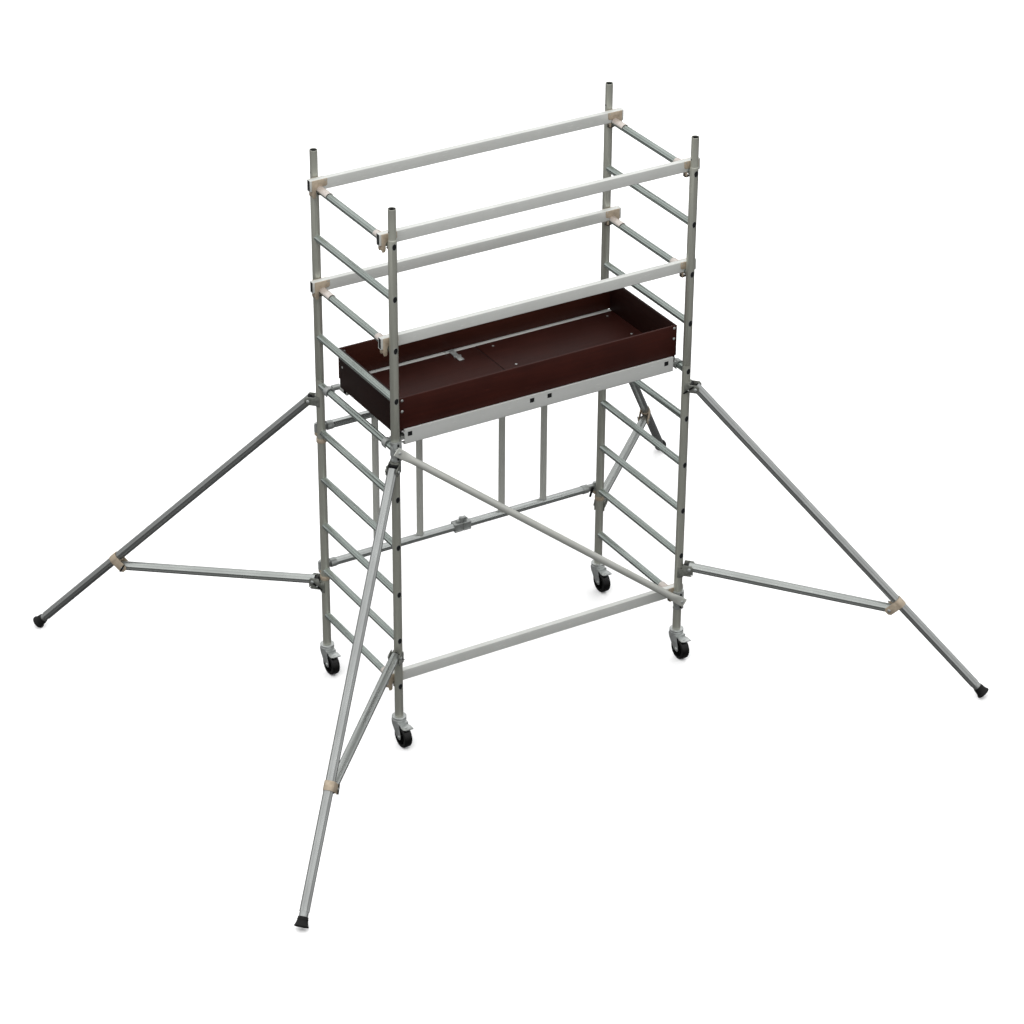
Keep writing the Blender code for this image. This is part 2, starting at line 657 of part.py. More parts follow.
DIAGONALS = {("front", "left"): -135, ("front", "right"): -45, ("rear", "left"): 135, ("rear", "right"): 45}
for (face, side), degrees in DIAGONALS.items():
    x = HALF_LENGTH if side == "right" else -HALF_LENGTH
    y = HALF_WIDTH if face == "rear" else -HALF_WIDTH
    place = Matrix.Translation((x, y, 0)) @ Matrix.Rotation(math.radians(degrees), 4, "Z")
    end = f"{face}_{side}"
    corner = (x, y, 0)
    node("stabiliser_tube_" + end, moved(outrigger(), place), RAIL_METAL, corner)
    node("stabiliser_leg_" + end, moved(leg(), place), RAIL_METAL, place @ TUBE_END)
    node("stabiliser_strut_" + end, moved(strut(), place), RAIL_METAL, corner)
    upper = clamp(1.634, 1.694, on_outrigger(PIVOT_REACH), 1.640, 1.686)
    node("stabiliser_clamp_top_" + end, moved(upper, place), CAST_TAN, corner)
    lower = clamp(0.503, 0.5655, on_strut(STRUT_BOLT_REACH), 0.520, 0.586)
    node("stabiliser_clamp_bottom_" + end, moved(lower, place), CAST_TAN, corner)
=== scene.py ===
# %% [markdown]
# # A mobile tower scaffold, piece by piece
# The tower's tubes, castings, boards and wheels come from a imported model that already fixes
# every size and every joint. This lesson gives each of them its finished shape and surface.

# %% Load the frame
import json
import math

import bmesh
import bpy
from mathutils import Matrix, Vector


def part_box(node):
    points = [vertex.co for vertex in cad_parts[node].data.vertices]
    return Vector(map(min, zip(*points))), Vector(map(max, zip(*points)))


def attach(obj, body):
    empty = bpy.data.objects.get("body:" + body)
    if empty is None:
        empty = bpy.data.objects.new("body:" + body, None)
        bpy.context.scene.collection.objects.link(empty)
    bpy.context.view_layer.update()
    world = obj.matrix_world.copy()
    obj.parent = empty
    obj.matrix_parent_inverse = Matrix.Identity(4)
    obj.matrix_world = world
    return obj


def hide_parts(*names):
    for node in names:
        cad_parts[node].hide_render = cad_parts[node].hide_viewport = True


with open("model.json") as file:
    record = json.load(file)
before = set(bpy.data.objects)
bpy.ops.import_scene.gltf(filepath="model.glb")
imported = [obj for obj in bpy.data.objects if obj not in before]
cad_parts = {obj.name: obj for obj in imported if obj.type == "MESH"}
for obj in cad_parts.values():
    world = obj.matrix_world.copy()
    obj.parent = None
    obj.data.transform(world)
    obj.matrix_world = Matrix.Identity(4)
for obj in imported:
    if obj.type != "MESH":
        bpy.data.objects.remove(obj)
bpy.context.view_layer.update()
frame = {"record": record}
bpy.ops.object.select_all(action="DESELECT")

# %% [markdown]
# The driving dimensions are read back from the frame: the post's thickness and place from a
# ladder frame's box, the heights from the boxes of rails and boards. Only details that the
# frame doesn't hold, such as flute depths, are stated as new values.

# %% Sizes from the frame
base_low, base_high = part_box("base_frame_right")
upper_low, upper_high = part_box("upper_frame_right")
post_r = (base_high.x - base_low.x) / 2
post_x = (base_high.x + base_low.x) / 2
post_y = base_high.y - post_r
post_foot = base_low.z
lift_joint = upper_low.z
spigot_tip = upper_high.z
post_top = spigot_tip - 0.161
rung_r = 0.019
rung_pitch = 0.28
first_rung = 0.356
base_rungs = [first_rung + i * rung_pitch for i in range(6)]
upper_rungs = [first_rung + i * rung_pitch for i in range(6, 10)]
SIDES = (("left", -1), ("right", 1))
FACES = (("front", -1), ("rear", 1))
print("posts at", round(post_x, 4), round(post_y, 4), "radius", round(post_r, 4))

# %% [markdown]
# ## Modelling by hand, in code
# Each piece starts as a primitive at its size and place and is shaped in edit mode. These few
# helpers only save typing: they start a primitive, pick faces or vertices by their place, and
# finish with bevels, cuts and smooth shading.

# %% Modelling helpers


def start(kind, **settings):
    """Adds a primitive with nothing else selected and returns it."""
    bpy.ops.object.select_all(action="DESELECT")
    getattr(bpy.ops.mesh, f"primitive_{kind}_add")(**settings)
    return bpy.context.object


def only(piece):
    bpy.ops.object.select_all(action="DESELECT")
    piece.select_set(True)
    bpy.context.view_layer.objects.active = piece


def edit(piece, kind="VERT"):
    only(piece)
    bpy.ops.object.mode_set(mode="EDIT")
    bpy.ops.mesh.select_mode(type=kind)


def done():
    bpy.ops.object.mode_set(mode="OBJECT")


def pick(piece, kind, test):
    """In edit mode, selects the vertices, edges or faces that pass the test."""
    mesh = bmesh.from_edit_mesh(piece.data)
    bpy.ops.mesh.select_all(action="DESELECT")
    for item in getattr(mesh, kind):
        item.select_set(test(item))
    bmesh.update_edit_mesh(piece.data)


def apply(piece, kind, **settings):
    """Adds a modifier with these settings and applies it."""
    only(piece)
    modifier = piece.modifiers.new(kind, kind)
    for name, value in settings.items():
        setattr(modifier, name, value)
    bpy.ops.object.modifier_apply(modifier=modifier.name)
    return piece


def soften(piece, width, segments=2, angle=40):
    return apply(piece, "BEVEL", width=width, segments=segments, limit_method="ANGLE",
                 angle_limit=math.radians(angle), use_clamp_overlap=True)


def boolean(piece, operation, *others):
    for other in others:
        apply(piece, "BOOLEAN", operation=operation, object=other, solver="EXACT")
        bpy.data.objects.remove(other, do_unlink=True)
    return piece


def carve(piece, *cutters):
    return boolean(piece, "DIFFERENCE", *cutters)


def fuse(piece, *others):
    return boolean(piece, "UNION", *others)


def gather(name, pieces):
    """Joins several pieces into one object without cutting them."""
    bpy.ops.object.select_all(action="DESELECT")
    for piece in pieces:
        piece.select_set(True)
    bpy.context.view_layer.objects.active = pieces[0]
    if len(pieces) > 1:
        bpy.ops.object.join()
    pieces[0].name = name
    return pieces[0]


def settle(piece, place=None):
    """Puts the piece's place into its mesh, after the turn or move in place."""
    piece.data.transform(piece.matrix_world if place is None else place @ piece.matrix_world)
    if place is not None and place.determinant() < 0:
        piece.data.flip_normals()
    piece.matrix_world = Matrix.Identity(4)
    return piece


def copy(piece, place):
    """A copy with its own mesh, moved, turned or mirrored by place."""
    twin = piece.copy()
    twin.data = piece.data.copy()
    bpy.context.scene.collection.objects.link(twin)
    return settle(twin, place)


def aim(begin, end):
    """The place that lays a piece modelled from 0 up the Z axis along begin to end."""
    run = Vector(end) - Vector(begin)
    return Matrix.Translation(begin) @ run.to_track_quat("Z", "Y").to_matrix().to_4x4()


def outward(piece):
    edit(piece, "FACE")
    bpy.ops.mesh.select_all(action="SELECT")
    bpy.ops.mesh.remove_doubles(threshold=0.00001)
    bpy.ops.mesh.normals_make_consistent(inside=False)
    done()
    return piece


def smooth(piece, angle=32):
    only(piece)
    bpy.ops.object.shade_smooth_by_angle(angle=math.radians(angle))
    return piece


def grown(sections, sides=32):
    """A closed turned piece: a disc extruded and resized through (height, radius) sections."""
    height, radius = sections[0]
    piece = start("circle", vertices=sides, radius=radius, fill_type="NGON", location=(0, 0, height))
    settle(piece)
    edit(piece, "FACE")
    bpy.ops.mesh.select_all(action="SELECT")
    for next_height, next_radius in sections[1:]:
        bpy.ops.mesh.extrude_region_move(
            TRANSFORM_OT_translate={"value": (0, 0, next_height - height)})
        ratio = next_radius / radius
        bpy.ops.transform.resize(value=(ratio, ratio, 1), center_override=(0, 0, next_height))
        height = next_height
        radius = next_radius
    done()
    return outward(piece)


def bar(begin, end, radius, sides=24):
    """A plain round bar between two points."""
    length = (Vector(end) - Vector(begin)).length
    piece = start("cylinder", vertices=sides, radius=radius, depth=length, location=(0, 0, length / 2))
    settle(piece)
    return settle(piece, aim(begin, end))


def block(low, high, bevel=0.0, segments=2):
    """A box between two corners, its edges rounded where bevel is given."""
    low = Vector(low)
    high = Vector(high)
    piece = start("cube", size=1, location=(low + high) / 2)
    piece.scale = high - low
    bpy.context.view_layer.update()
    settle(piece)
    if bevel:
        soften(piece, bevel, segments)
    return piece


def plate(points, thickness):
    """An outline in XY drawn as one extruded vertex, filled, and given its thickness."""
    piece = start("plane", size=0.001, location=(*points[0], -thickness / 2))
    settle(piece)
    edit(piece, "VERT")
    bpy.ops.mesh.select_all(action="SELECT")
    bpy.ops.mesh.merge(type="CENTER")
    for here, there in zip(points, points[1:]):
        step = (there[0] - here[0], there[1] - here[1], 0)
        bpy.ops.mesh.extrude_region_move(TRANSFORM_OT_translate={"value": step})
    bpy.ops.mesh.select_all(action="SELECT")
    bpy.ops.mesh.edge_face_add()
    bpy.ops.mesh.select_all(action="SELECT")
    bpy.ops.mesh.extrude_region_move(TRANSFORM_OT_translate={"value": (0, 0, thickness)})
    done()
    return outward(piece)


def arc(centre, radius, first, last, steps):
    """Points along an arc, angles in degrees, for the round stretch of an outline."""
    found = []
    for i in range(steps + 1):
        angle = math.radians(first + (last - first) * i / steps)
        found.append((centre[0] + radius * math.cos(angle), centre[1] + radius * math.sin(angle)))
    return found


ALONG_XZ = Matrix(((1, 0, 0, 0), (0, 0, -1, 0), (0, 1, 0, 0), (0, 0, 0, 1)))
ALONG_YZ = Matrix(((0, 0, 1, 0), (1, 0, 0, 0), (0, 1, 0, 0), (0, 0, 0, 1)))
print("helpers ready")

# %% [markdown]
# A drawn aluminium tube is scalloped: broad hollow bands between narrow ridges stiffen a rung
# and keep a boot from slipping. The tube is an open ring of edges extruded to its length. The
# ridge vertices stay where they are, the ones between are drawn towards the axis, and
# Solidify gives the wall.

# %% Fluted tubes
BAND = 5


def tube(begin, end, radius, wall=0.002, flutes=0, depth=0.0013, sides=32):
    length = (Vector(end) - Vector(begin)).length
    count = flutes * BAND if flutes else sides
    piece = start("circle", vertices=count, radius=radius)
    edit(piece, "VERT")
    bpy.ops.mesh.select_all(action="SELECT")
    bpy.ops.mesh.extrude_region_move(TRANSFORM_OT_translate={"value": (0, 0, length)})
    if flutes:
        turn = 2 * math.pi / count
        for places, share in (((1, 4), 0.62), ((2, 3), 1.0)):
            pick(piece, "verts", lambda v: round(math.atan2(v.co.x, v.co.y) / turn) % BAND in places)
            ratio = 1 - share * depth / radius
            bpy.ops.transform.resize(value=(ratio, ratio, 1), center_override=(0, 0, 0))
    done()
    outward(piece)
    apply(piece, "SOLIDIFY", thickness=wall, offset=-1)
    return settle(piece, aim(begin, end))


# %% [markdown]
# ## Surfaces as sums
# A finish is a small calculation over the surface: noise stretched along the tube for the
# draw lines, a broad noise for handling marks. One class wraps a shader socket so that such
# sums are written as Python expressions, and one method adds every other node.

# %% Shader values


class Value:
    """A shader socket that can be added, multiplied and compared."""

    def __init__(self, finish, socket):
        self.finish = finish
        self.socket = socket

    def math(self, operation, first, second):
        return self.finish.node("ShaderNodeMath", {"operation": operation}, {0: first, 1: second})

    def __add__(self, other):
        return self.math("ADD", self, other)

    def __sub__(self, other):
        return self.math("SUBTRACT", self, other)

    def __rsub__(self, other):
        return self.math("SUBTRACT", other, self)

    def __mul__(self, other):
        return self.math("MULTIPLY", self, other)

    __radd__ = __add__
    __rmul__ = __mul__


class Finish:
    """A material under construction."""

    def __init__(self, name):
        self.material = bpy.data.materials.new(name)
        self.material.use_nodes = True
        self.tree = self.material.node_tree
        self.shader = self.tree.nodes["Principled BSDF"]

    def node(self, kind, settings=None, inputs=None, output=0):
        made = self.tree.nodes.new(kind)
        for name, value in (settings or {}).items():
            if name == "stops":
                ramp = made.color_ramp.elements
                while len(ramp) < len(value):
                    ramp.new(0.5)
                for element, (position, colour) in zip(ramp, value):
                    element.position = position
                    element.color = (*colour, 1.0)
            else:
                setattr(made, name, value)
        for key, value in (inputs or {}).items():
            self.link(value, made.inputs[key])
        return Value(self, made.outputs[output])

    def link(self, value, socket):
        if isinstance(value, Value):
            self.tree.links.new(value.socket, socket)
        elif isinstance(value, tuple) and len(value) == 3 and socket.type == "RGBA":
            socket.default_value = (*value, 1.0)
        else:
            socket.default_value = value

    def vector(self, operation, inputs, output=0):
        return self.node("ShaderNodeVectorMath", {"operation": operation}, inputs, output)

    def position(self, along=None, across=1.0, lengthwise=1.0):
        """The point on the object, squeezed along one direction where along is given."""
        point = self.node("ShaderNodeTexCoord", output=3)
        if along is None:
            return point
        axis = tuple(Vector(along).normalized())
        reach = self.vector("DOT_PRODUCT", {0: point, 1: axis}, 1)
        on_axis = self.vector("SCALE", {0: axis, "Scale": reach})
        off_axis = self.vector("SUBTRACT", {0: point, 1: on_axis})
        wide = self.vector("SCALE", {0: off_axis, "Scale": across})
        long = self.vector("SCALE", {0: on_axis, "Scale": lengthwise})
        return self.vector("ADD", {0: wide, 1: long})

    def noise(self, scale, detail=3.0, point=None, roughness=0.55):
        return self.node("ShaderNodeTexNoise", {}, {
            "Vector": point or self.position(), "Scale": scale, "Detail": detail, "Roughness": roughness})

    def steps(self, value, low, high):
        """0 below low, 1 above high, straight between."""
        return self.node("ShaderNodeMapRange", {"clamp": True}, {0: value, 1: low, 2: high, 3: 0.0, 4: 1.0})

    def between(self, mask, first, second):
        """Two colours mixed by a mask."""
        return self.node("ShaderNodeMix", {"data_type": "RGBA"}, {0: mask, 6: first, 7: second}, output=2)

    def surface(self, colour, roughness, metallic=0.0, height=None, depth=0.0002, strength=0.6):
        self.link(colour, self.shader.inputs["Base Color"])
        self.link(roughness, self.shader.inputs["Roughness"])
        self.link(metallic, self.shader.inputs["Metallic"])
        if height is not None:
            bump = self.node("ShaderNodeBump", {}, {
                "Height": height, "Distance": depth, "Strength": strength})
            self.link(bump, self.shader.inputs["Normal"])
        return self.material


print("shader values ready")

# %% [markdown]
# Mill-finish aluminium is never one grey. Drawing leaves fine lines along the tube, storage
# leaves cloudy oxide, and hands and claws leave small bright scratches. The lines run the
# tube's own way, so the finish takes that direction.

# %% Drawn aluminium


def drawn_aluminium(name, light, dark, along, roughness=0.22, metallic=0.85):
    finish = Finish(name)
    lines = finish.noise(1.0, 2.0, finish.position(along, 420.0, 3.0))
    clouds = finish.noise(5.5, 4.0)
    scratches = finish.steps(finish.noise(1.0, 1.0, finish.position(along, 160.0, 22.0)), 0.70, 0.76)
    cloudy = finish.steps(clouds, 0.30, 0.72)
    tone = finish.between(cloudy * 0.6 + lines * 0.4, dark, light)
    colour = finish.between(scratches * 0.35, tone, tuple(min(1.0, c * 1.35) for c in light))
    dull = roughness + 0.10 * (1 - cloudy) + 0.10 * (lines - 0.5)
    return finish.surface(colour, dull, metallic, lines + scratches * 0.4, 0.00008, 0.35)


olive_post = drawn_aluminium("olive_post", (0.56, 0.57, 0.50), (0.43, 0.435, 0.38), (0, 0, 1), 0.32, 0.75)
pale_rung = drawn_aluminium("pale_rung", (0.37, 0.41, 0.385), (0.28, 0.32, 0.30), (0, 1, 0), 0.20, 0.85)
rail_bar = drawn_aluminium("rail_bar", (0.66, 0.67, 0.645), (0.56, 0.57, 0.545), (1, 0, 0), 0.38, 0.45)
upright_bar = drawn_aluminium("upright_bar", (0.56, 0.57, 0.53), (0.45, 0.46, 0.42), (0, 0, 1), 0.42, 0.4)
print("aluminium ready")

# %% [markdown]
# The claws and brackets are pressure die castings: warm, slightly tan, with a fine pebbled
# skin and darker hollows where handling has not polished them.

# %% Castings, plating, plastic and rubber


def cast_alloy(name, light, dark, metallic=0.35, roughness=0.48):
    finish = Finish(name)
    grain = finish.noise(900.0, 3.0)
    patches = finish.steps(finish.noise(38.0, 4.0), 0.35, 0.68)
    colour = finish.between(patches * 0.7 + grain * 0.3, dark, light)
    return finish.surface(colour, roughness + 0.15 * (grain - 0.5), metallic, grain, 0.0002, 0.5)


tan_casting = cast_alloy("tan_casting", (0.50, 0.42, 0.32), (0.33, 0.27, 0.20))
grey_casting = cast_alloy("grey_casting", (0.40, 0.42, 0.41), (0.24, 0.25, 0.24), 0.55, 0.36)
# A lighter casting for the claw arms: a painted highlight where light falls on their upper side.
highlight_casting = cast_alloy("highlight_casting", (0.66, 0.61, 0.57), (0.50, 0.45, 0.41), 0.5, 0.34)
clamp_casting = cast_alloy("clamp_casting", (0.30, 0.31, 0.28), (0.12, 0.125, 0.11), 0.6, 0.36)
dark_casting = cast_alloy("dark_casting", (0.10, 0.085, 0.065), (0.04, 0.034, 0.028), 0.35, 0.4)
zinc_plate = cast_alloy("zinc_plate", (0.56, 0.58, 0.57), (0.36, 0.38, 0.37), 0.7, 0.30)


def moulded(name, colour, worn, roughness, grain_size, depth):
    finish = Finish(name)
    grain = finish.noise(grain_size, 3.0)
    wear = finish.steps(finish.noise(22.0, 5.0), 0.52, 0.78)
    shade = finish.between(wear * 0.5 + grain * 0.15, colour, worn)
    finish.shader.inputs["Specular IOR Level"].default_value = 0.30
    return finish.surface(shade, roughness + 0.15 * wear - 0.05 * grain, 0.0, grain, depth, 0.5)


black_plastic = moulded(
    "black_plastic", (0.003, 0.003, 0.003), (0.012, 0.012, 0.012), 0.38, 1400.0, 0.00008)
black_rubber = moulded("black_rubber", (0.002, 0.002, 0.002), (0.010, 0.010, 0.009), 0.62, 700.0, 0.0002)
wheel_black = moulded("wheel_black", (0.0015, 0.0015, 0.0015), (0.008, 0.008, 0.007), 0.26, 500.0, 0.0001)
# A near-black finish of painted shade, for open ends, slots, seams and gaps that only look dark.
shade_black = moulded("shade_black", (0.003, 0.0035, 0.004), (0.010, 0.011, 0.012), 0.7, 300.0, 0.0001)
print("other finishes ready")

# %% [markdown]
# Film-faced plywood is dark brown with the veneer's grain just showing through the resin.
# The walking face carries an anti-slip mesh: a grid of shallow pits pressed into the film.

# %% Film-faced plywood


def film_ply(name, light, dark, along, mesh_pitch=None):
    finish = Finish(name)
    veneer = finish.noise(1.0, 4.0, finish.position(along, 60.0, 3.0))
    stain = finish.steps(finish.noise(4.0, 5.0), 0.35, 0.70)
    scuffs = finish.steps(finish.noise(1.0, 3.0, finish.position(along, 90.0, 14.0)), 0.66, 0.80)
    colour = finish.between(veneer * 0.65 + stain * 0.35, dark, light)
    colour = finish.between(scuffs * 0.30, colour, tuple(c * 2.2 + 0.01 for c in light))
    height = veneer * 0.5
    if mesh_pitch:
        pits = finish.node("ShaderNodeTexVoronoi", {"feature": "F1", "distance": "CHEBYCHEV"}, {
            "Vector": finish.position(), "Scale": 1 / mesh_pitch, "Randomness": 0.0})
        height = height + finish.steps(pits, 0.25, 0.45)
    finish.shader.inputs["Specular IOR Level"].default_value = 0.16
    return finish.surface(colour, 0.50 + 0.2 * scuffs + 0.08 * stain, 0.0, height, 0.0003, 0.6)


board_brown = film_ply("board_brown", (0.042, 0.0075, 0.004), (0.013, 0.0022, 0.0014), (1, 0, 0))
board_dark = film_ply("board_dark", (0.046, 0.011, 0.006), (0.013, 0.003, 0.002), (1, 0, 0))
end_board_dark = film_ply("end_board_dark", (0.017, 0.005, 0.0035), (0.005, 0.0015, 0.001), (0, 1, 0))
deck_mesh = film_ply("deck_mesh", (0.037, 0.0090, 0.006), (0.014, 0.0033, 0.0023), (1, 0, 0), 0.007)
print("plywood ready")

# %% [markdown]
# Every finished piece is named, given its finish, and told which body it moves with and
# which plain solid it stands for.

# %% Finish and hand over


def hand_over(piece, name, material, body, stands_for=()):
    smooth(piece)
    piece.name = name
    piece.data.name = name
    piece.data.materials.clear()
    piece.data.materials.append(material)
    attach(piece, body)
    if stands_for:
        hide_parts(*stands_for)
    return piece


# %% [markdown]
# ## Ladder frames
# A post is a tube with its top stepped down to a spigot, which plugs into the lift above.
# The rungs pass right through the posts and are swaged over and pinched, so their open ends
# show as dark ovals on the outer faces. One post is modelled for each lift, bored once for all its rungs
# with a single joined cutter, and copied to its four places.

# %% Posts
spigot_r = 0.020
rung_bore_r = 0.0172
pinched = Matrix.Diagonal((0.64, 1, 1, 1))


def rung_bores(heights):
    bores = [bar((0, -0.05, z), (0, 0.05, z), rung_bore_r) for z in heights]
    return settle(gather("bores", bores), pinched)


def bored_post(sections, heights):
    post = grown(sections, 40)
    return carve(post, rung_bores(heights))


def button_hole(z):
    return bar((-0.05, 0, z), (0, 0, z), 0.0052, 16)


base_post = bored_post([(post_foot, post_r), (lift_joint - 0.0012, post_r)], base_rungs)
upper_post = bored_post([
    (lift_joint + 0.0006, post_r - 0.0006), (lift_joint + 0.0018, post_r), (post_top - 0.0045, post_r),
    (post_top - 0.0035, post_r - 0.0003), (post_top, spigot_r + 0.0002), (post_top + 0.0010, spigot_r),
    (spigot_tip - 0.0008, spigot_r), (spigot_tip, spigot_r - 0.0006), (spigot_tip, spigot_r - 0.0018),
    (spigot_tip - 0.110, spigot_r - 0.0018),
], upper_rungs)
carve(upper_post, button_hole(post_top + 0.041))
for side, sx in SIDES:
    for lift, post in (("base", base_post), ("upper", upper_post)):
        pair = [copy(post, Matrix.Translation((sx * post_x, sy * post_y, 0))) for sy in (-1, 1)]
        node = f"{lift}_frame_{side}"
        hand_over(gather("pair", pair), node + "_posts", olive_post, "tower", [node])
for post in (base_post, upper_post):
    bpy.data.objects.remove(post, do_unlink=True)

# %% [markdown]
# Looking down into an open spigot one sees only darkness. A dark plug of painted shade well
# below the rim, and a small one behind each snap-button hole, give that dark depth.

# %% Dark inside the spigots
dark = []
for sx in (-1, 1):
    for sy in (-1, 1):
        here = Vector((sx * post_x, sy * post_y, 0))
        cup = [(spigot_tip - 0.020, 0.0181), (spigot_tip - 0.0045, 0.0181), (spigot_tip - 0.0045, 0.0172),
               (spigot_tip - 0.0190, 0.0165)]
        dark.append(settle(grown(cup, 32), Matrix.Translation(here)))
        button = Vector((-spigot_r - 0.0001, 0, post_top + 0.041))
        dark.append(settle(grown([(0, 0.0050), (0.003, 0.0050), (0.004, 0.0035)], 16),
                           aim(here + button + Vector((0.004, 0, 0)), here + button)))
hand_over(gather("dark", dark), "spigot_shade_fill", shade_black, "tower")

# %% [markdown]
# The swaged rim of a rung follows the round post. It is cut by the shape that makes it: a
# short tube intersected with a cylinder a shade larger than the post.

# %% Rungs and their swaged ends
rim = tube((0, 0, 0), (0, -0.05, 0), rung_r, rung_r - rung_bore_r, sides=40)
settle(rim, pinched)
boolean(rim, "INTERSECT", bar((0, 0, -0.05), (0, 0, 0.05), post_r + 0.0006, 64))
# Painted shade: a dark plug sits in each rung's open end, a little inside the post's face.
rung_hole_shade = settle(bar((0, -0.0188, 0), (0, -0.004, 0), rung_bore_r + 0.0002), pinched)
rung = tube((0, -post_y, 0), (0, post_y, 0), rung_r, 0.0020, flutes=10, depth=0.0016)
for side, sx in SIDES:
    for lift, heights in (("base", base_rungs), ("upper", upper_rungs)):
        bars = [copy(rung, Matrix.Translation((sx * post_x, 0, z))) for z in heights]
        rims = []
        plugs_and_shade = []
        for z in heights:
            for sy in (-1, 1):
                turn = Matrix.Rotation(0 if sy < 0 else math.pi, 4, "Z")
                here = Matrix.Translation((sx * post_x, sy * post_y, z)) @ turn
                rims.append(copy(rim, here))
                plugs_and_shade.append(copy(rung_hole_shade, here))
        name = f"{lift}_frame_{side}"
        hand_over(gather("bars", bars), name + "_rungs", pale_rung, "tower")
        hand_over(gather("rims", rims), name + "_rung_rims", grey_casting, "tower")
        hand_over(gather("plugs_and_shade", plugs_and_shade), name + "_rung_shade_fill", shade_black, "tower")
for spare in (rim, rung, rung_hole_shade):
    bpy.data.objects.remove(spare, do_unlink=True)
print("rungs:", 2 * (len(base_rungs) + len(upper_rungs)))

# %% [markdown]
# ## Guardrails
# A guardrail is a rectangular tube. A cube loses its two end faces, its long edges are
# bevelled to the die's corner radius, and Solidify gives the wall. The rung passes through a
# notch near each end.

# %% Rectangular rails
rail_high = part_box("guardrail_top_front")[1]
rail_half = rail_high.x
rail_top_above_rung = rail_high.z - upper_rungs[3]
rail_height = 0.061
rail_thick = 0.030
rail_y = 0.363


def rail_section():
    piece = block((-rail_half, -rail_thick / 2, rail_top_above_rung - rail_height),
                  (rail_half, rail_thick / 2, rail_top_above_rung))
    edit(piece, "FACE")
    pick(piece, "faces", lambda f: abs(f.normal.x) > 0.9)
    bpy.ops.mesh.delete(type="ONLY_FACE")
    bpy.ops.mesh.select_mode(type="EDGE")
    pick(piece, "edges", lambda e: abs(e.verts[0].co.x - e.verts[1].co.x) > 1)
    bpy.ops.mesh.bevel(offset=0.0035, segments=4)
    done()
    apply(piece, "SOLIDIFY", thickness=0.0022, offset=-1)
    for sx in (-1, 1):
        x = sx * post_x
        carve(piece, bar((x, -0.05, 0), (x, 0.05, 0), rung_r + 0.0006, 32))
    return piece


rail = rail_section()
print("rail", round(2 * rail_half, 3), "m long")

# %% [markdown]
# The claw is a casting that sits under the rail's end and drops over the rung. Its two cheeks
# cover the rail's faces and are riveted through it, and their outer ends reach down past the
# rung. A half-round arm lies along the top of the rung, and a sprung latch closes the throat.

# %% Claws
claw_half = 0.0193
rail_under = rail_top_above_rung - rail_height
cheek_y = (rail_thick / 2 + claw_half) / 2
cheek_thick = claw_half - rail_thick / 2 - 0.0002


def claw_body():
    """Modelled with the rung on the Y axis, the rail's end to -X and the tower's middle to -Y."""
    outline = [
        (-0.044, 0.0572), (-0.044, -0.028), (-0.040, -0.0385), (-0.027, -0.0385), (-0.0228, -0.030),
        (-0.0228, 0.0), *arc((0, 0), rung_r + 0.0012, 180, 57, 10), (0.030, 0.0175),
        *arc((0.030, 0.0285), 0.011, -90, 0, 5), (0.041, 0.0572)]
    parts = []
    for way in (-1, 1):
        cheek = settle(plate(outline, cheek_thick), ALONG_XZ)
        parts.append(settle(soften(cheek, 0.0010), Matrix.Translation((0, way * cheek_y, 0))))
    jaw = block((-0.0425, -0.0150, -0.0270), (0.0270, 0.0150, rail_under - 0.0003), 0.0010)
    carve(jaw, bar((0, -0.05, 0), (0, 0.05, 0), rung_r + 0.0008, 32))
    carve(jaw, block((-0.0200, -0.05, -0.06), (0.0200, 0.05, 0.0)))
    arm = tube((0, -0.118, 0), (0, -claw_half + 0.001, 0), rung_r + 0.0034, 0.0026, sides=40)
    carve(arm, block((-0.05, -0.15, -0.05), (0.05, 0.01, 0.004)))
    return gather("claw", [*parts, jaw]), soften(arm, 0.0008, 2, 50)


def claw_latch():
    """The sprung latch under the rung: a hook and its heel."""
    hook = settle(plate([
        (0.0215, -0.036), (0.031, -0.031), (0.0325, -0.018), (0.0275, -0.0130), (0.0215, -0.019),
        (0.012, -0.027), (-0.006, -0.026), (-0.006, -0.031), (0.012, -0.035)], 0.016), ALONG_XZ)
    soften(hook, 0.001)
    heel = block((-0.037, -0.009, -0.036), (-0.0245, 0.009, -0.024), 0.003, 3)
    return gather("latch", [hook, heel])


def claw_rivets():
    pins = [rivet((0.031, way * (claw_half - 0.0004), 0.050), (0, way, 0), 0.0042, 0.0008)
            for way in (-1, 1)]
    return gather("rivets", pins)


def rivet(at, out, radius=0.008, height=0.004):
    """A domed rivet head: a short disc with its rim rounded over."""
    head = grown([
        (0, radius), (height * 0.35, radius), (height * 0.75, radius * 0.82), (height, radius * 0.4)], 24)
    return settle(head, aim(at, Vector(at) + Vector(out)))


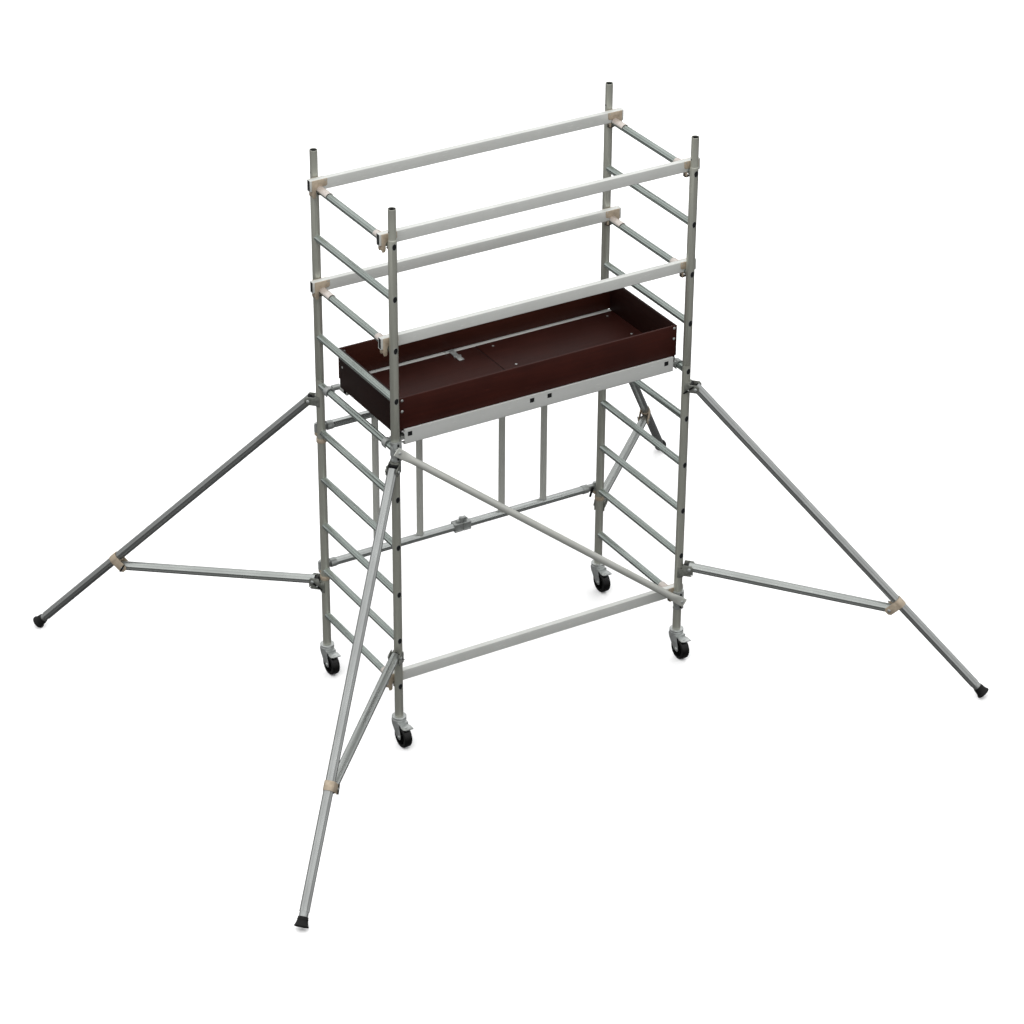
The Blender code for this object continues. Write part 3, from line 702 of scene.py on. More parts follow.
body, arm = claw_body()
claw = {"claws": body, "claw_arms": arm, "latches": claw_latch(), "rivets": claw_rivets()}
claw_look = {
    "claws": (tan_casting, "cast_metal"),
    # The arms' lighter casting is a painted highlight.
    "claw_arms": (highlight_casting, "cast_metal"),
    "latches": (dark_casting, "cast_metal"),
    "rivets": (zinc_plate, "zinc"),
}
RAILS = {f"guardrail_{level}_{face}": (sy * rail_y, height)
         for level, height in (("top", upper_rungs[3]), ("middle", upper_rungs[1])) for face, sy in FACES}
RAILS["bottom_brace"] = (-rail_y, base_rungs[0])
MIRROR_X = Matrix.Diagonal((-1, 1, 1, 1))
MIRROR_Y = Matrix.Diagonal((1, -1, 1, 1))
for name, (y, height) in RAILS.items():
    here = Matrix.Translation((0, y, height))
    if y < 0:
        here = here @ MIRROR_Y
    hand_over(copy(rail, here), name + "_tube", rail_bar, "tower", [name])
    # Painted shade: a dark block just inside each open end of the rail.
    plugs_and_shade = [block((x - 0.0035, -rail_thick / 2 + 0.0024, rail_under + 0.0024),
                   (x + 0.0005, rail_thick / 2 - 0.0024, rail_top_above_rung - 0.0024), 0.0008)
             for x in (-rail_half + 0.005, rail_half - 0.002)]
    hand_over(copy(gather("plugs_and_shade", plugs_and_shade), here), name + "_end_shade_fill", shade_black, "tower")
    bpy.data.objects.remove(plugs_and_shade[0], do_unlink=True)
    ends = [Matrix.Translation((-post_x, 0, 0)), Matrix.Translation((post_x, 0, 0)) @ MIRROR_X]
    for part, piece in claw.items():
        look, slot = claw_look[part]
        pair = [copy(piece, here @ end) for end in ends]
        hand_over(gather(part, pair), f"{name}_{part}", look, "tower")
for spare in (rail, *claw.values()):
    bpy.data.objects.remove(spare, do_unlink=True)
print("rails with claws:", len(RAILS))

# %% [markdown]
# ## Diagonal brace
# The brace is a round tube whose ends are pressed flat and riveted to claws. Its ends are
# flattened by resizing the last rings of vertices, the way a press would close them.

# %% Brace tube
brace_y = -0.450
brace_r = 0.019
brace_high = Vector((-post_x, brace_y, base_rungs[5]))
brace_low = Vector((post_x, brace_y, base_rungs[0]))


def pressed_tube(length):
    """Along Z from 0 to length, both ends pressed flat in Y and left wider in X."""
    piece = start("circle", vertices=32, radius=brace_r)
    settle(piece)
    edit(piece, "VERT")
    bpy.ops.mesh.select_all(action="SELECT")
    stops = [-0.022, 0.0, 0.030, 0.055, 0.080, 0.105]
    heights = stops + [length - stop for stop in reversed(stops)]
    for here, there in zip(heights, heights[1:]):
        bpy.ops.mesh.extrude_region_move(TRANSFORM_OT_translate={"value": (0, 0, there - here)})
    bpy.ops.mesh.select_all(action="SELECT")
    bpy.ops.transform.translate(value=(0, 0, heights[0]))
    for reach, flat, wide in ((0.035, 0.20, 1.28), (0.060, 0.50, 1.20), (0.085, 0.84, 1.06)):
        last = {0.035: -0.05, 0.060: 0.035, 0.085: 0.060}[reach]
        pick(piece, "verts", lambda v: last < min(v.co.z, length - v.co.z) < reach)
        bpy.ops.transform.resize(value=(wide, flat, 1), center_override=(0, 0, 0))
    bpy.ops.mesh.select_mode(type="EDGE")
    pick(piece, "edges", lambda e: e.is_boundary)
    bpy.ops.mesh.edge_face_add()
    done()
    return outward(piece)


def brace_tube():
    run = brace_low - brace_high
    along = run.normalized()
    square = Vector((-along.z, 0, along.x))
    turn = Matrix((square, Vector((0, 1, 0)), along)).transposed().to_4x4()
    return settle(pressed_tube(run.length), Matrix.Translation(brace_high) @ turn)


hand_over(brace_tube(), "brace_tube", drawn_aluminium(
    "brace_aluminium", (0.62, 0.63, 0.59), (0.52, 0.53, 0.49), brace_low - brace_high, 0.42, 0.5),
    "tower", ["diagonal_brace"])
print("brace", round((brace_low - brace_high).length, 3), "m between rivets")

# %% [markdown]
# A brace claw is a C that snaps round the post from the front. Two black triggers on its
# face release the locking pawls, and a large rivet holds the tube's flat end.

# %% Brace claws


def brace_claw():
    """Round a post on the Z axis, its face towards -Y, the rivet at y = -0.0425."""
    jaw = settle(plate([
        (-0.029, 0.001), (-0.029, -0.016), (-0.022, -0.027), (-0.014, -0.031), (0.014, -0.031),
        (0.022, -0.027), (0.029, -0.016), (0.029, 0.001)], 0.108))
    carve(jaw, bar((0, 0, -0.06), (0, 0, 0.06), post_r + 0.0005, 48))
    for z in (-0.034, 0.034):
        carve(jaw, block((-0.05, -0.0225, z - 0.008), (-0.0245, 0.01, z + 0.008)),
              block((0.0245, -0.0225, z - 0.008), (0.05, 0.01, z + 0.008)))
    soften(jaw, 0.002, 3, 50)
    seat = block((-0.019, -0.0405, -0.021), (0.019, -0.028, 0.021), 0.004, 3)
    return gather("jaw", [jaw, seat])


jaw = brace_claw()
trigger = block((-0.0055, -0.0352, -0.007), (0.0055, -0.030, 0.007), 0.002, 3)
jaws, triggers, rivets = [], [], []
for end in (brace_high, brace_low):
    centre = Matrix.Translation((end.x, -post_y, end.z))
    jaws.append(copy(jaw, centre))
    for z in (-0.038, 0.038):
        triggers.append(copy(trigger, centre @ Matrix.Translation((0, 0, z))))
    rivets.append(rivet((end.x, brace_y - 0.0038, end.z), (0, -1, 0), 0.0085, 0.0045))
hand_over(gather("jaws", jaws), "brace_claws", grey_casting, "tower")
hand_over(gather("triggers", triggers), "brace_claw_triggers", black_plastic, "tower")
hand_over(gather("rivets", rivets), "brace_rivets", zinc_plate, "tower")
for spare in (jaw, trigger):
    bpy.data.objects.remove(spare, do_unlink=True)

# %% [markdown]
# ## Folding gate
# The rear of the base is a gate that folds for transport: fluted rails, plain uprights welded
# between them with a small bead, and square couplings with a hinge barrel at the middle.

# %% Gate tubes
gate_y = 0.455
gate_top = base_rungs[4]
gate_bottom = base_rungs[1]
gate_rail_r = 0.022
gate_upright_r = 0.0185
gate_uprights = (0.2575, 0.525)


def weld_bead(at, radius):
    """A weld is a thin ring of metal, modelled as a small torus round the upright's foot."""
    ring = start("torus", major_radius=radius + 0.0005, minor_radius=0.0022,
                 major_segments=32, minor_segments=8)
    return settle(ring, Matrix.Translation(at))


for side, sx in SIDES:
    rails = [tube((sx * 0.012, gate_y, z), (sx * 0.812, gate_y, z), gate_rail_r, 0.0022,
                  flutes=10, depth=0.0014) for z in (gate_top, gate_bottom)]
    foot = gate_bottom + 0.012
    head = gate_top - 0.012
    uprights = [tube((sx * x, gate_y, foot), (sx * x, gate_y, head), gate_upright_r) for x in gate_uprights]
    rise = gate_rail_r - 0.0005
    beads = [weld_bead((sx * x, gate_y, z), gate_upright_r)
             for x in gate_uprights for z in (gate_bottom + rise, gate_top - rise)]
    hand_over(gather("rails", rails), f"gate_{side}_rails", drawn_aluminium(
        f"gate_rail_aluminium_{side}", (0.50, 0.52, 0.51), (0.38, 0.40, 0.39), (1, 0, 0)),
        "tower", ["gate_" + side])
    hand_over(gather("uprights", uprights), f"gate_{side}_uprights", upright_bar, "tower")
    hand_over(gather("beads", beads), f"gate_{side}_welds", grey_casting, "tower")
print("gate", round(gate_top - gate_bottom, 3), "m tall")

# %% [markdown]
# The coupling is a square socket with ribbed corners. It starts as a block, its long edges
# get small round lands, and the rail enters it through a bore.

# %% Gate couplings and middle hinges


def coupling():
    """Along X from 0.0008 to 0.052, the rail's axis on the X axis."""
    half = 0.0235
    body = block((0.0008, -half, -half), (0.052, half, half), 0.0015)
    corners = [bar((0.004, y, z), (0.050, y, z), 0.0058, 16)
               for y in (-half + 0.003, half - 0.003) for z in (-half + 0.003, half - 0.003)]
    fuse(body, *corners)
    carve(body, bar((0.010, 0, 0), (0.08, 0, 0), gate_rail_r + 0.0004, 32))
    return soften(body, 0.001, 2, 50)


socket = coupling()
for z, level in ((gate_top, "top"), (gate_bottom, "bottom")):
    centre = Matrix.Translation((0, gate_y, z))
    halves = [copy(socket, centre), copy(socket, centre @ MIRROR_X)]
    top = z + 0.024
    leaf_low = block((-0.030, gate_y - 0.010, top + 0.0004), (0.0, gate_y + 0.010, top + 0.0122), 0.0015)
    leaf_high = block((0.0, gate_y - 0.010, top + 0.0132), (0.030, gate_y + 0.010, top + 0.0248), 0.0015)
    riser = block((0.014, gate_y - 0.010, top - 0.003), (0.030, gate_y + 0.010, top + 0.020), 0.0015)
    eyes = [bar((0, gate_y, top + 0.0006), (0, gate_y, top + 0.0124), 0.0138, 32),
            bar((0, gate_y, top + 0.0134), (0, gate_y, top + 0.0250), 0.0138, 32)]
    pin_head = rivet((0, gate_y, top + 0.0245), (0, 0, 1), 0.0065, 0.004)
    hinge = gather("hinge", [leaf_low, leaf_high, riser, *eyes, pin_head])
    hand_over(gather("halves", halves), f"gate_coupling_{level}", grey_casting, "tower")
    hand_over(hinge, f"gate_middle_hinge_{level}", grey_casting, "tower")
bpy.data.objects.remove(socket, do_unlink=True)

# %% [markdown]
# At the posts the gate ends in cast fittings that turn on pins. A tan collar round each rear
# post carries the pin, and a dark lever on the fitting locks it.

# %% Gate fittings and post brackets
pin_lift = {gate_top: 1.4545, gate_bottom: 0.6145}
barrel_tall = 0.046


def gate_end(sx, z):
    low = pin_lift[z]
    x = sx * post_x
    neck = block((min(sx * 0.806, sx * 0.860), gate_y - 0.0128, z - 0.0175),
                 (max(sx * 0.806, sx * 0.860), gate_y + 0.0128, z + 0.0175), 0.004, 3)
    cuff = tube((sx * 0.780, gate_y, z), (sx * 0.814, gate_y, z), gate_rail_r + 0.0028, 0.0026, sides=32)
    barrel = tube((x, gate_y, low), (x, gate_y, low + barrel_tall), 0.0157, 0.009, sides=32)
    return gather("end", [neck, cuff, barrel])


def collar(sx, z):
    x = sx * post_x
    bottom = z - 0.0583
    ear_top = z - 0.0228
    band = tube((x, post_y, bottom), (x, post_y, z - 0.0357), 0.0273, 0.0042, sides=48)
    ear = block((x - 0.0115, post_y + 0.0255, z - 0.0438), (x + 0.0115, gate_y + 0.0125, ear_top), 0.003, 3)
    return gather("collar", [soften(band, 0.0010), ear])


for side, sx in SIDES:
    for z, level in ((gate_top, "top"), (gate_bottom, "bottom")):
        low = pin_lift[z]
        x = sx * post_x
        node = f"gate_bracket_{level}_{side}"
        hand_over(gate_end(sx, z), f"gate_end_{level}_{side}", grey_casting, "tower")
        hand_over(collar(sx, z), node + "_collar", tan_casting, "tower", [node])
        pin = bar((x, gate_y, low - 0.012), (x, gate_y, low + barrel_tall + 0.004), 0.006, 20)
        head = rivet((x, gate_y, low + barrel_tall + 0.003), (0, 0, 1), 0.0105, 0.005)
        hand_over(gather("pin", [pin, head]), node + "_pin", zinc_plate, "tower")
        lean = Matrix.Rotation(math.radians(18 * sx), 4, "Y")
        lever = plate([(-0.0055, -0.050), (0.0055, -0.050), (0.0075, 0.010), (-0.0075, 0.010)], 0.009)
        settle(lever, Matrix.Translation((sx * 0.838, gate_y - 0.0175, z)) @ lean @ ALONG_XZ)
        soften(lever, 0.0025, 3)
        hand_over(lever, f"gate_lock_lever_{level}_{side}", black_plastic, "tower")
print("gate brackets: 4")

# %% [markdown]
# ## Platform
# Two C-section beams carry the deck. The profile is drawn as an outline, given its length by
# one extrusion, and punched for the lashing slots. A bar under each end of the deck carries two
# cast hooks that drop over the rung.

# %% Side beams
beam_low, beam_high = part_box("beam_front")
beam_outer = {"front": beam_low.y, "rear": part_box("beam_rear")[1].y}
beam_bottom = 1.754
beam_top = beam_high.z
beam_half = 0.800
slot_places = (-0.769, -0.057, 0.047, 0.758)
slot_z = 1.810
slot_half = 0.0133


def beam_profile(outer, inward):
    wall = 0.004
    lip = beam_top - 0.006
    points = [(0, beam_bottom + 0.008), *arc((0.008, beam_bottom + 0.008), 0.008, 180, 270, 6),
              (0.036, beam_bottom), (0.036, beam_bottom + wall), (wall + 0.003, beam_bottom + wall),
              (wall, beam_bottom + wall + 0.003), (wall, lip - 0.014), (0.048, lip - 0.014),
              (0.048, lip - 0.011), (0.0105, lip - 0.011), (0.0105, beam_top - 0.001),
              (0.0095, beam_top), (0.001, beam_top), (0, beam_top - 0.001)]
    return [(outer + inward * a, b) for a, b in points]


def beam(outer, inward):
    piece = settle(plate(beam_profile(outer, inward), 2 * beam_half), ALONG_YZ)
    near, far = sorted((outer - inward * 0.02, outer + inward * 0.0066))
    holes = [block((x - slot_half, near, slot_z - slot_half), (x + slot_half, far, slot_z + slot_half))
             for x in slot_places]
    return carve(piece, *holes)


def cross_bar():
    """The bar under the deck's right end, with the step and link that carry the rear hook."""
    return gather("member", [
        block((0.7683, -0.3460, 1.7625), (0.7977, 0.2530, 1.7832), 0.0015),
        block((0.7960, 0.2155, 1.7625), (0.8118, 0.2520, 1.7832), 0.0010),
        block((0.8018, 0.2205, 1.7580), (0.8118, 0.3230, 1.7832), 0.0010)])


def rung_hooks():
    """Two cast rings that drop over the right-hand rung, open below, and their arms."""
    z = base_rungs[5]
    made = []
    for y, root in ((-0.325, 0.774), (0.3075, 0.8035)):
        low = y - 0.0158
        high = y + 0.0158
        ring = tube((post_x, low, z), (post_x, high, z), 0.0273, 0.0076, sides=40)
        throat = block((post_x - 0.0163, low - 0.01, z - 0.04), (post_x + 0.0163, high + 0.01, z - 0.002))
        carve(ring, throat)
        arm = block((root, low, 1.7628), (0.8492, high, 1.7833), 0.0020)
        made += [soften(ring, 0.0010, 2, 50), arm]
    return gather("hooks", made)


for face, sy in FACES:
    inward = -sy
    outer = beam_outer[face]
    hand_over(beam(outer, inward), f"beam_{face}_section", drawn_aluminium(
        f"beam_aluminium_{face}", (0.68, 0.69, 0.67), (0.58, 0.59, 0.57), (1, 0, 0), 0.40, 0.5),
        "tower", ["beam_" + face])
    # Painted shade: dark blocks behind the lashing slots.
    near, far = sorted((outer + inward * 0.0030, outer + inward * 0.0060))
    slot_shade_blocks = [block((x - 0.0130, near, slot_z - 0.0130), (x + 0.0130, far, slot_z + 0.0130), 0.0004)
              for x in slot_places]
    hand_over(gather("slot_shade_blocks", slot_shade_blocks), f"beam_{face}_slot_shade_fill", shade_black, "tower")
member = cross_bar()
hooks = rung_hooks()
for side, place in (("left", MIRROR_X), ("right", Matrix.Identity(4))):
    node = "cross_member_" + side
    hand_over(copy(member, place), node + "_bar", rail_bar, "tower", [node])
    hand_over(copy(hooks, place), node + "_hooks", grey_casting, "tower")
for spare in (member, hooks):
    bpy.data.objects.remove(spare, do_unlink=True)

# %% [markdown]
# The deck is one fixed sheet and one trapdoor of the same plywood. A light aluminium strip
# closes the rear edge, and the T-shaped slide bolt sits on the trapdoor beside it.

# %% Deck, trapdoor and bolt
fixed_low, fixed_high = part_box("deck_fixed")
door_low, door_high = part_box("trapdoor")
bolt_low, bolt_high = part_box("trapdoor_latch")
deck_top = 1.838
deck_under = fixed_low.z
seam_x = door_high.x
strip_y = door_high.y + 0.0015
hinge_y = frame["record"]["behaviour"]["joints"][0]["pos_m"][1]


def sheet(low, high):
    return block(low, high, 0.0006, 2)


fixed = gather("fixed", [
    sheet((seam_x + 0.0045, hinge_y - 0.0055, deck_under), (fixed_high.x, strip_y - 0.0005, deck_top)),
    sheet((fixed_low.x, fixed_low.y, deck_under), (seam_x + 0.0028, hinge_y - 0.006, deck_top)),
    sheet((seam_x + 0.0030, fixed_low.y, deck_under), (fixed_high.x, hinge_y - 0.006, deck_top))])
hand_over(fixed, "deck_fixed_sheet", deck_mesh, "tower", ["deck_fixed"])
strip = block((fixed_low.x, strip_y, deck_under), (fixed_high.x, fixed_high.y, deck_top + 0.0004), 0.0008)
hand_over(strip, "deck_rear_strip", rail_bar, "tower")
# A dark strip of painted shadow in the seam between the trapdoor and the fixed sheet.
seam = block((seam_x + 0.0003, hinge_y - 0.0050, deck_under),
             (seam_x + 0.0050, strip_y - 0.001, deck_top - 0.0035))
hand_over(seam, "trapdoor_seam_shadow", shade_black, "tower")
door = sheet((door_low.x, door_low.y, door_low.z), (seam_x - 0.0012, door_high.y - 0.0010, deck_top))
hand_over(door, "trapdoor_sheet", deck_mesh, "trapdoor", ["trapdoor"])
bolt_x = (bolt_low.x + bolt_high.x) / 2
staple = block((bolt_x - 0.0208, 0.1752, deck_top + 0.0002),
               (bolt_x + 0.0208, 0.1868, deck_top + 0.0083), 0.0008)
carve(staple, block((bolt_x - 0.0154, 0.16, deck_top - 0.002), (bolt_x + 0.0154, 0.20, deck_top + 0.0066)))
hand_over(staple, "trapdoor_staple", zinc_plate, "trapdoor")
arm = block((bolt_x - 0.0148, bolt_low.y, bolt_low.z), (bolt_x + 0.0148, 0.250, bolt_high.z), 0.0010)
grip_floor = bolt_high.z - 0.0012
carve(arm, *[block((bolt_x - 0.02, y, grip_floor), (bolt_x + 0.02, y + 0.0030, bolt_high.z + 0.01))
             for y in (0.194, 0.203, 0.212, 0.221, 0.230)])
grip = block((bolt_low.x, 0.2465, bolt_low.z), (bolt_high.x, bolt_high.y, bolt_high.z), 0.0022, 3)
hand_over(gather("bolt", [arm, grip]), "trapdoor_bolt", zinc_plate, "latch", ["trapdoor_latch"])
hinge_pin = tube((door_low.x + 0.04, hinge_y - 0.002, deck_top - 0.0012),
                 (seam_x - 0.04, hinge_y - 0.002, deck_top - 0.0012), 0.0028, 0.0012, sides=16)
hand_over(hinge_pin, "trapdoor_hinge_knuckle", rail_bar, "tower")
screws = gather("screws", [rivet((x, y, deck_top), (0, 0, 1), 0.0065, 0.0016) for x, y in (
    (0.05, -0.040), (0.757, -0.044), (0.757, 0.200), (0.757, -0.290), (0.05, 0.200), (0.05, -0.290))])
hand_over(screws, "deck_screws", zinc_plate, "tower")
print("trapdoor", round(door_high.x - door_low.x, 3), "x", round(door_high.y - door_low.y, 3))

# %% [markdown]
# Toe boards are plywood on edge. Their ends are bolted through the corners and small plates
# hold the inside of each corner.

# %% Toe boards and their fixings
board_finish = {"front": board_brown, "rear": board_dark, "left": end_board_dark, "right": end_board_dark}
for name in board_finish:
    low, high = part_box("toe_board_" + name)
    board = block(low, high, 0.0012, 2)
    node = "toe_board_" + name
    hand_over(board, node + "_ply", board_finish[name], "tower", [node])
front_low, front_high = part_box("toe_board_front")
rear_low, rear_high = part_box("toe_board_rear")
bolts = []
for sx in (-1, 1):
    for z in (1.939, 2.000):
        bolts.append(rivet((sx * 0.807, front_low.y, z), (0, -1, 0), 0.0075, 0.0035))
        bolts.append(rivet((sx * 0.807, rear_high.y, z), (0, 1, 0), 0.0075, 0.0035))
        bolts.append(rivet((sx * front_high.x, 0.235, z - 0.02), (sx, 0, 0), 0.0060, 0.003))
hand_over(gather("bolts", bolts), "toe_board_bolts", zinc_plate, "tower")
angles = []
for sx in (-1, 1):
    inner_x = sx * (front_high.x - 0.012)
    for y, way in ((front_high.y, 1), (rear_low.y, -1)):
        outline = [(0, 0), (-0.022 * sx, 0), (-0.022 * sx, 0.0015 * way), (-0.0015 * sx, 0.0015 * way),
                   (-0.0015 * sx, 0.022 * way), (0, 0.022 * way)]
        angle = plate(outline, 0.030)
        angles.append(settle(angle, Matrix.Translation((inner_x, y, 1.985))))
hand_over(gather("angles", angles), "toe_board_corner_angles", zinc_plate, "tower")

# %% [markdown]
# ## Casters
# The caster swivels on a stem inside the post. Its collar is two turned discs with a dark
# seam, the fork is a casting whose cheeks narrow down to the axle, and the brake pedal is a
# bent plate with a bright tread mark. One of each is modelled and copied to the corners.

# %% Caster parts
wheel_r = 0.0625
trail = 0.045
pedal_z = 0.1315


def fork():
    collar = grown([(0.1415, 0.030), (0.1415, 0.0365), (0.143, 0.0383), (0.151, 0.0383), (0.1522, 0.0370),
                    (0.1522, 0.0352), (0.1548, 0.0352), (0.1548, 0.0370), (0.156, 0.0383), (0.1645, 0.0383),
                    (0.1668, 0.0355), (0.1672, 0.0260), (0.1672, 0.016)], 48)
    crown = settle(plate([
        (-0.0278, -0.046), (0.0278, -0.046), (0.0278, 0.010), *arc((0, 0.006), 0.0285, 8, 172, 12),
        (-0.0278, 0.010)], 0.020), Matrix.Translation((0, 0, 0.1325)))
    soften(crown, 0.003, 3, 40)
    cheeks = []
    for sx in (-1, 1):
        cheek = settle(plate([
            (0.033, 0.139), (0.034, 0.124), (0.026, 0.104), (0.002, 0.076), (-0.022, 0.052),
            *arc((-trail, wheel_r), 0.0165, 300, 200, 6), (-0.060, 0.076), (-0.050, 0.104),
            (-0.046, 0.126), (-0.046, 0.139)], 0.0034), ALONG_YZ)
        cheeks.append(settle(soften(cheek, 0.001), Matrix.Translation((sx * 0.0265, 0, 0))))
    crown_hollow = bar((-0.0245, -trail, wheel_r), (0.0245, -trail, wheel_r), wheel_r + 0.0035, 48)
    carve(crown, crown_hollow)
    axle = bar((-0.030, -trail, wheel_r), (0.030, -trail, wheel_r), 0.0055, 20)
    nuts = [rivet((sx * 0.0280, -trail, wheel_r), (sx, 0, 0), 0.0095, 0.005) for sx in (-1, 1)]
    return gather("fork", [collar, crown, *cheeks, axle, *nuts])


def tyre():
    rim_r = wheel_r - 0.0035
    half = 0.0222
    piece = grown([
        (-half, 0.044), (-half, rim_r - 0.002), (-half + 0.0015, rim_r),
        (-0.016, wheel_r - 0.0006), (-0.006, wheel_r), (0.006, wheel_r), (0.016, wheel_r - 0.0006),
        (half - 0.0015, rim_r), (half, rim_r - 0.002), (half, 0.044)], 64)
    carve(piece, bar((0, 0, -0.05), (0, 0, 0.05), 0.0435, 64))
    return settle(piece, Matrix.Translation((0, -trail, wheel_r)) @ Matrix.Rotation(math.pi / 2, 4, "Y"))


def wheel_centre():
    """The moulded centre: a dished web with a hub and eight ribs."""
    hub = 0.0225
    web = grown([(-0.006, 0.0434), (0.006, 0.0434)], 64)
    boss = grown([(-hub, 0.014), (-hub + 0.001, 0.015), (hub - 0.001, 0.015), (hub, 0.014)], 32)
    fuse(web, boss)
    for i in range(4):
        rib = block((-0.043, -0.0016, -0.015), (0.043, 0.0016, 0.015))
        fuse(web, settle(rib, Matrix.Rotation(math.pi * i / 4, 4, "Z")))
    carve(web, bar((0, 0, -0.05), (0, 0, 0.05), 0.0066, 20))
    return settle(web, Matrix.Translation((0, -trail, wheel_r)) @ Matrix.Rotation(math.pi / 2, 4, "Y"))


def pedal():
    tread = plate([
        (-0.0285, -0.096), (-0.017, -0.1035), (0.022, -0.1035), (0.0285, -0.1035), (0.0285, -0.066),
        (0.0240, -0.062), (0.0240, -0.047), (-0.0240, -0.047), (-0.0240, -0.062),
        (-0.0285, -0.066)], 0.0030)
    settle(tread, Matrix.Translation((0, 0, pedal_z + 0.0010)))
    lip = block((-0.016, -0.1035, pedal_z - 0.0028), (0.0285, -0.1010, pedal_z + 0.0022), 0.0008)
    carve(tread, block((-0.011, -0.088, pedal_z), (0.006, -0.082, pedal_z + 0.01)))
    barrel = tube((-0.0238, -0.0405, pedal_z), (0.0238, -0.0405, pedal_z), 0.0043, 0.0016, sides=20)
    arm = block((-0.018, -0.050, pedal_z - 0.0018), (0.018, -0.0425, pedal_z + 0.0018), 0.0006)
    return gather("pedal", [soften(tread, 0.0006), lip, barrel, arm])


caster = {"fork": fork(), "tyre": tyre(), "centre": wheel_centre(), "pedal": pedal(),
          "mark": block((-0.0105, -0.0875, pedal_z + 0.0008), (0.0055, -0.0825, pedal_z + 0.0030), 0.0006)}
for face, sy in FACES:
    for side, sx in SIDES:
        end = f"{face}_{side}"
        here = Matrix.Translation((sx * post_x, sy * post_y, 0))
        made = {name: copy(piece, here) for name, piece in caster.items()}
        caster_bits = (
            ("fork", "fork", zinc_plate, "zinc", "caster", ["caster_fork_" + end]),
            ("tyre", "tyre", wheel_black, "black_rubber", "wheel", ["caster_wheel_" + end]),
            ("centre", "wheel_centre", wheel_black, "black_rubber", "wheel", ()),
            ("pedal", "pedal", zinc_plate, "zinc", "pedal", ["caster_pedal_" + end]),
            ("mark", "pedal_mark", grey_casting, "zinc", "pedal", ()),
        )
        for piece, name, look, slot, body, stands_for in caster_bits:
            hand_over(made[piece], f"caster_{end}_{name}", look, f"{body}_{end}", stands_for)
for spare in caster.values():
    bpy.data.objects.remove(spare, do_unlink=True)
print("casters: 4")

# %% [markdown]
# ## Stabilisers
# Each stabiliser is a long fluted tube from a clamp high on the post, a strut from a clamp
# low on it, and a telescopic leg in a rubber foot. All of it is modelled once, reaching out
# along +X from a post on the Z axis, and turned to the four diagonals.

# %% Stabiliser lines
outrigger_r = 0.025
leg_r = 0.0225
outrigger_height = 1.721
strut_height = 0.570
strut_fall = 0.0783
strut_pin = 1.157
bracket_reach = 1.2015
down = Vector((1, 0, -1)).normalized()
foot_base = Vector((1.6955, 0, 0.0258))
tube_end = foot_base - down * 0.0735


def on_outrigger(reach):
    return Vector((reach, 0, outrigger_height - reach))


def on_strut(reach):
    return Vector((reach, 0, strut_height - strut_fall * reach))


strut_way = (on_strut(1) - on_strut(0)).normalized()


def cross_bolt(at, half, radius=0.005):
    side = Vector((0, half, 0))
    shank = bar(at - side, at + side, radius, 20)
    heads = [rivet(at + side * way, (0, way, 0), radius * 1.9, 0.004) for way in (-1, 1)]
    return gather("bolt", [shank, *heads])


print("foot to post:", round(foot_base.x, 3))

# %% [markdown]
# The rubber foot flares towards its base and has a rib. It is turned: a disc extruded and
# resized along the leg. Each clamp is half a band with two flat plates, a dark block of painted
# shade between them and a slim lever lying on one of them.

# %% Stabiliser pieces
DIAGONALS = {("front", "left"): -135, ("front", "right"): -45, ("rear", "left"): 135, ("rear", "right"): 45}


def rubber_foot():
    piece = grown([
        (0.0, 0.0250), (0.001, 0.0262), (0.012, 0.0268), (0.013, 0.0282), (0.016, 0.0282), (0.017, 0.0272),
        (0.030, 0.0300), (0.042, 0.0340), (0.044, 0.0362), (0.0492, 0.0365), (0.050, 0.0355)], 48)
    return settle(piece, aim(foot_base - down * 0.050, foot_base))


def middle_bracket():
    """A band round the tube with two cheeks that hold the strut's end."""
    middle = on_outrigger(bracket_reach)
    band = tube(middle - down * 0.025, middle + down * 0.025, outrigger_r + 0.0038, 0.0036, sides=48)
    parts = [soften(band, 0.0008)]
    tilt = Matrix.Translation(middle) @ ALONG_XZ @ Matrix.Rotation(math.radians(-135), 4, "Z")
    for sy in (-1, 1):
        cheek = plate([(0.004, -0.0248), (0.068, -0.0248), (0.0815, -0.012), (0.0815, 0.012),
                       (0.068, 0.0248), (0.004, 0.0248)], 0.0034)
        soften(cheek, 0.0012)
        parts.append(settle(settle(cheek, tilt), Matrix.Translation((0, sy * 0.0275, 0))))
    return gather("bracket", parts)


def lock_lever(at, half, way, degrees):
    """A slim moulded lever lying flat on a plate, turned by degrees about its pin."""
    lever = plate([(-half, -0.0030), (-half * 0.3, -0.0048), (half * 0.3, -0.0048), (half, -0.0030),
                   (half, 0.0030), (half * 0.3, 0.0048), (-half * 0.3, 0.0048), (-half, 0.0030)], 0.006)
    soften(lever, 0.0015, 3)
    tilt = Matrix.Translation(at + Vector((0, way * 0.003, 0))) @ ALONG_XZ
    return settle(lever, tilt @ Matrix.Rotation(math.radians(degrees), 4, "Z"))


def gap_shade_block(low, high, near, far):
    """A dark block of painted shade between a clamp's two plates."""
    return block((near, -0.0245, low), (far, 0.0245, high), 0.003, 3)


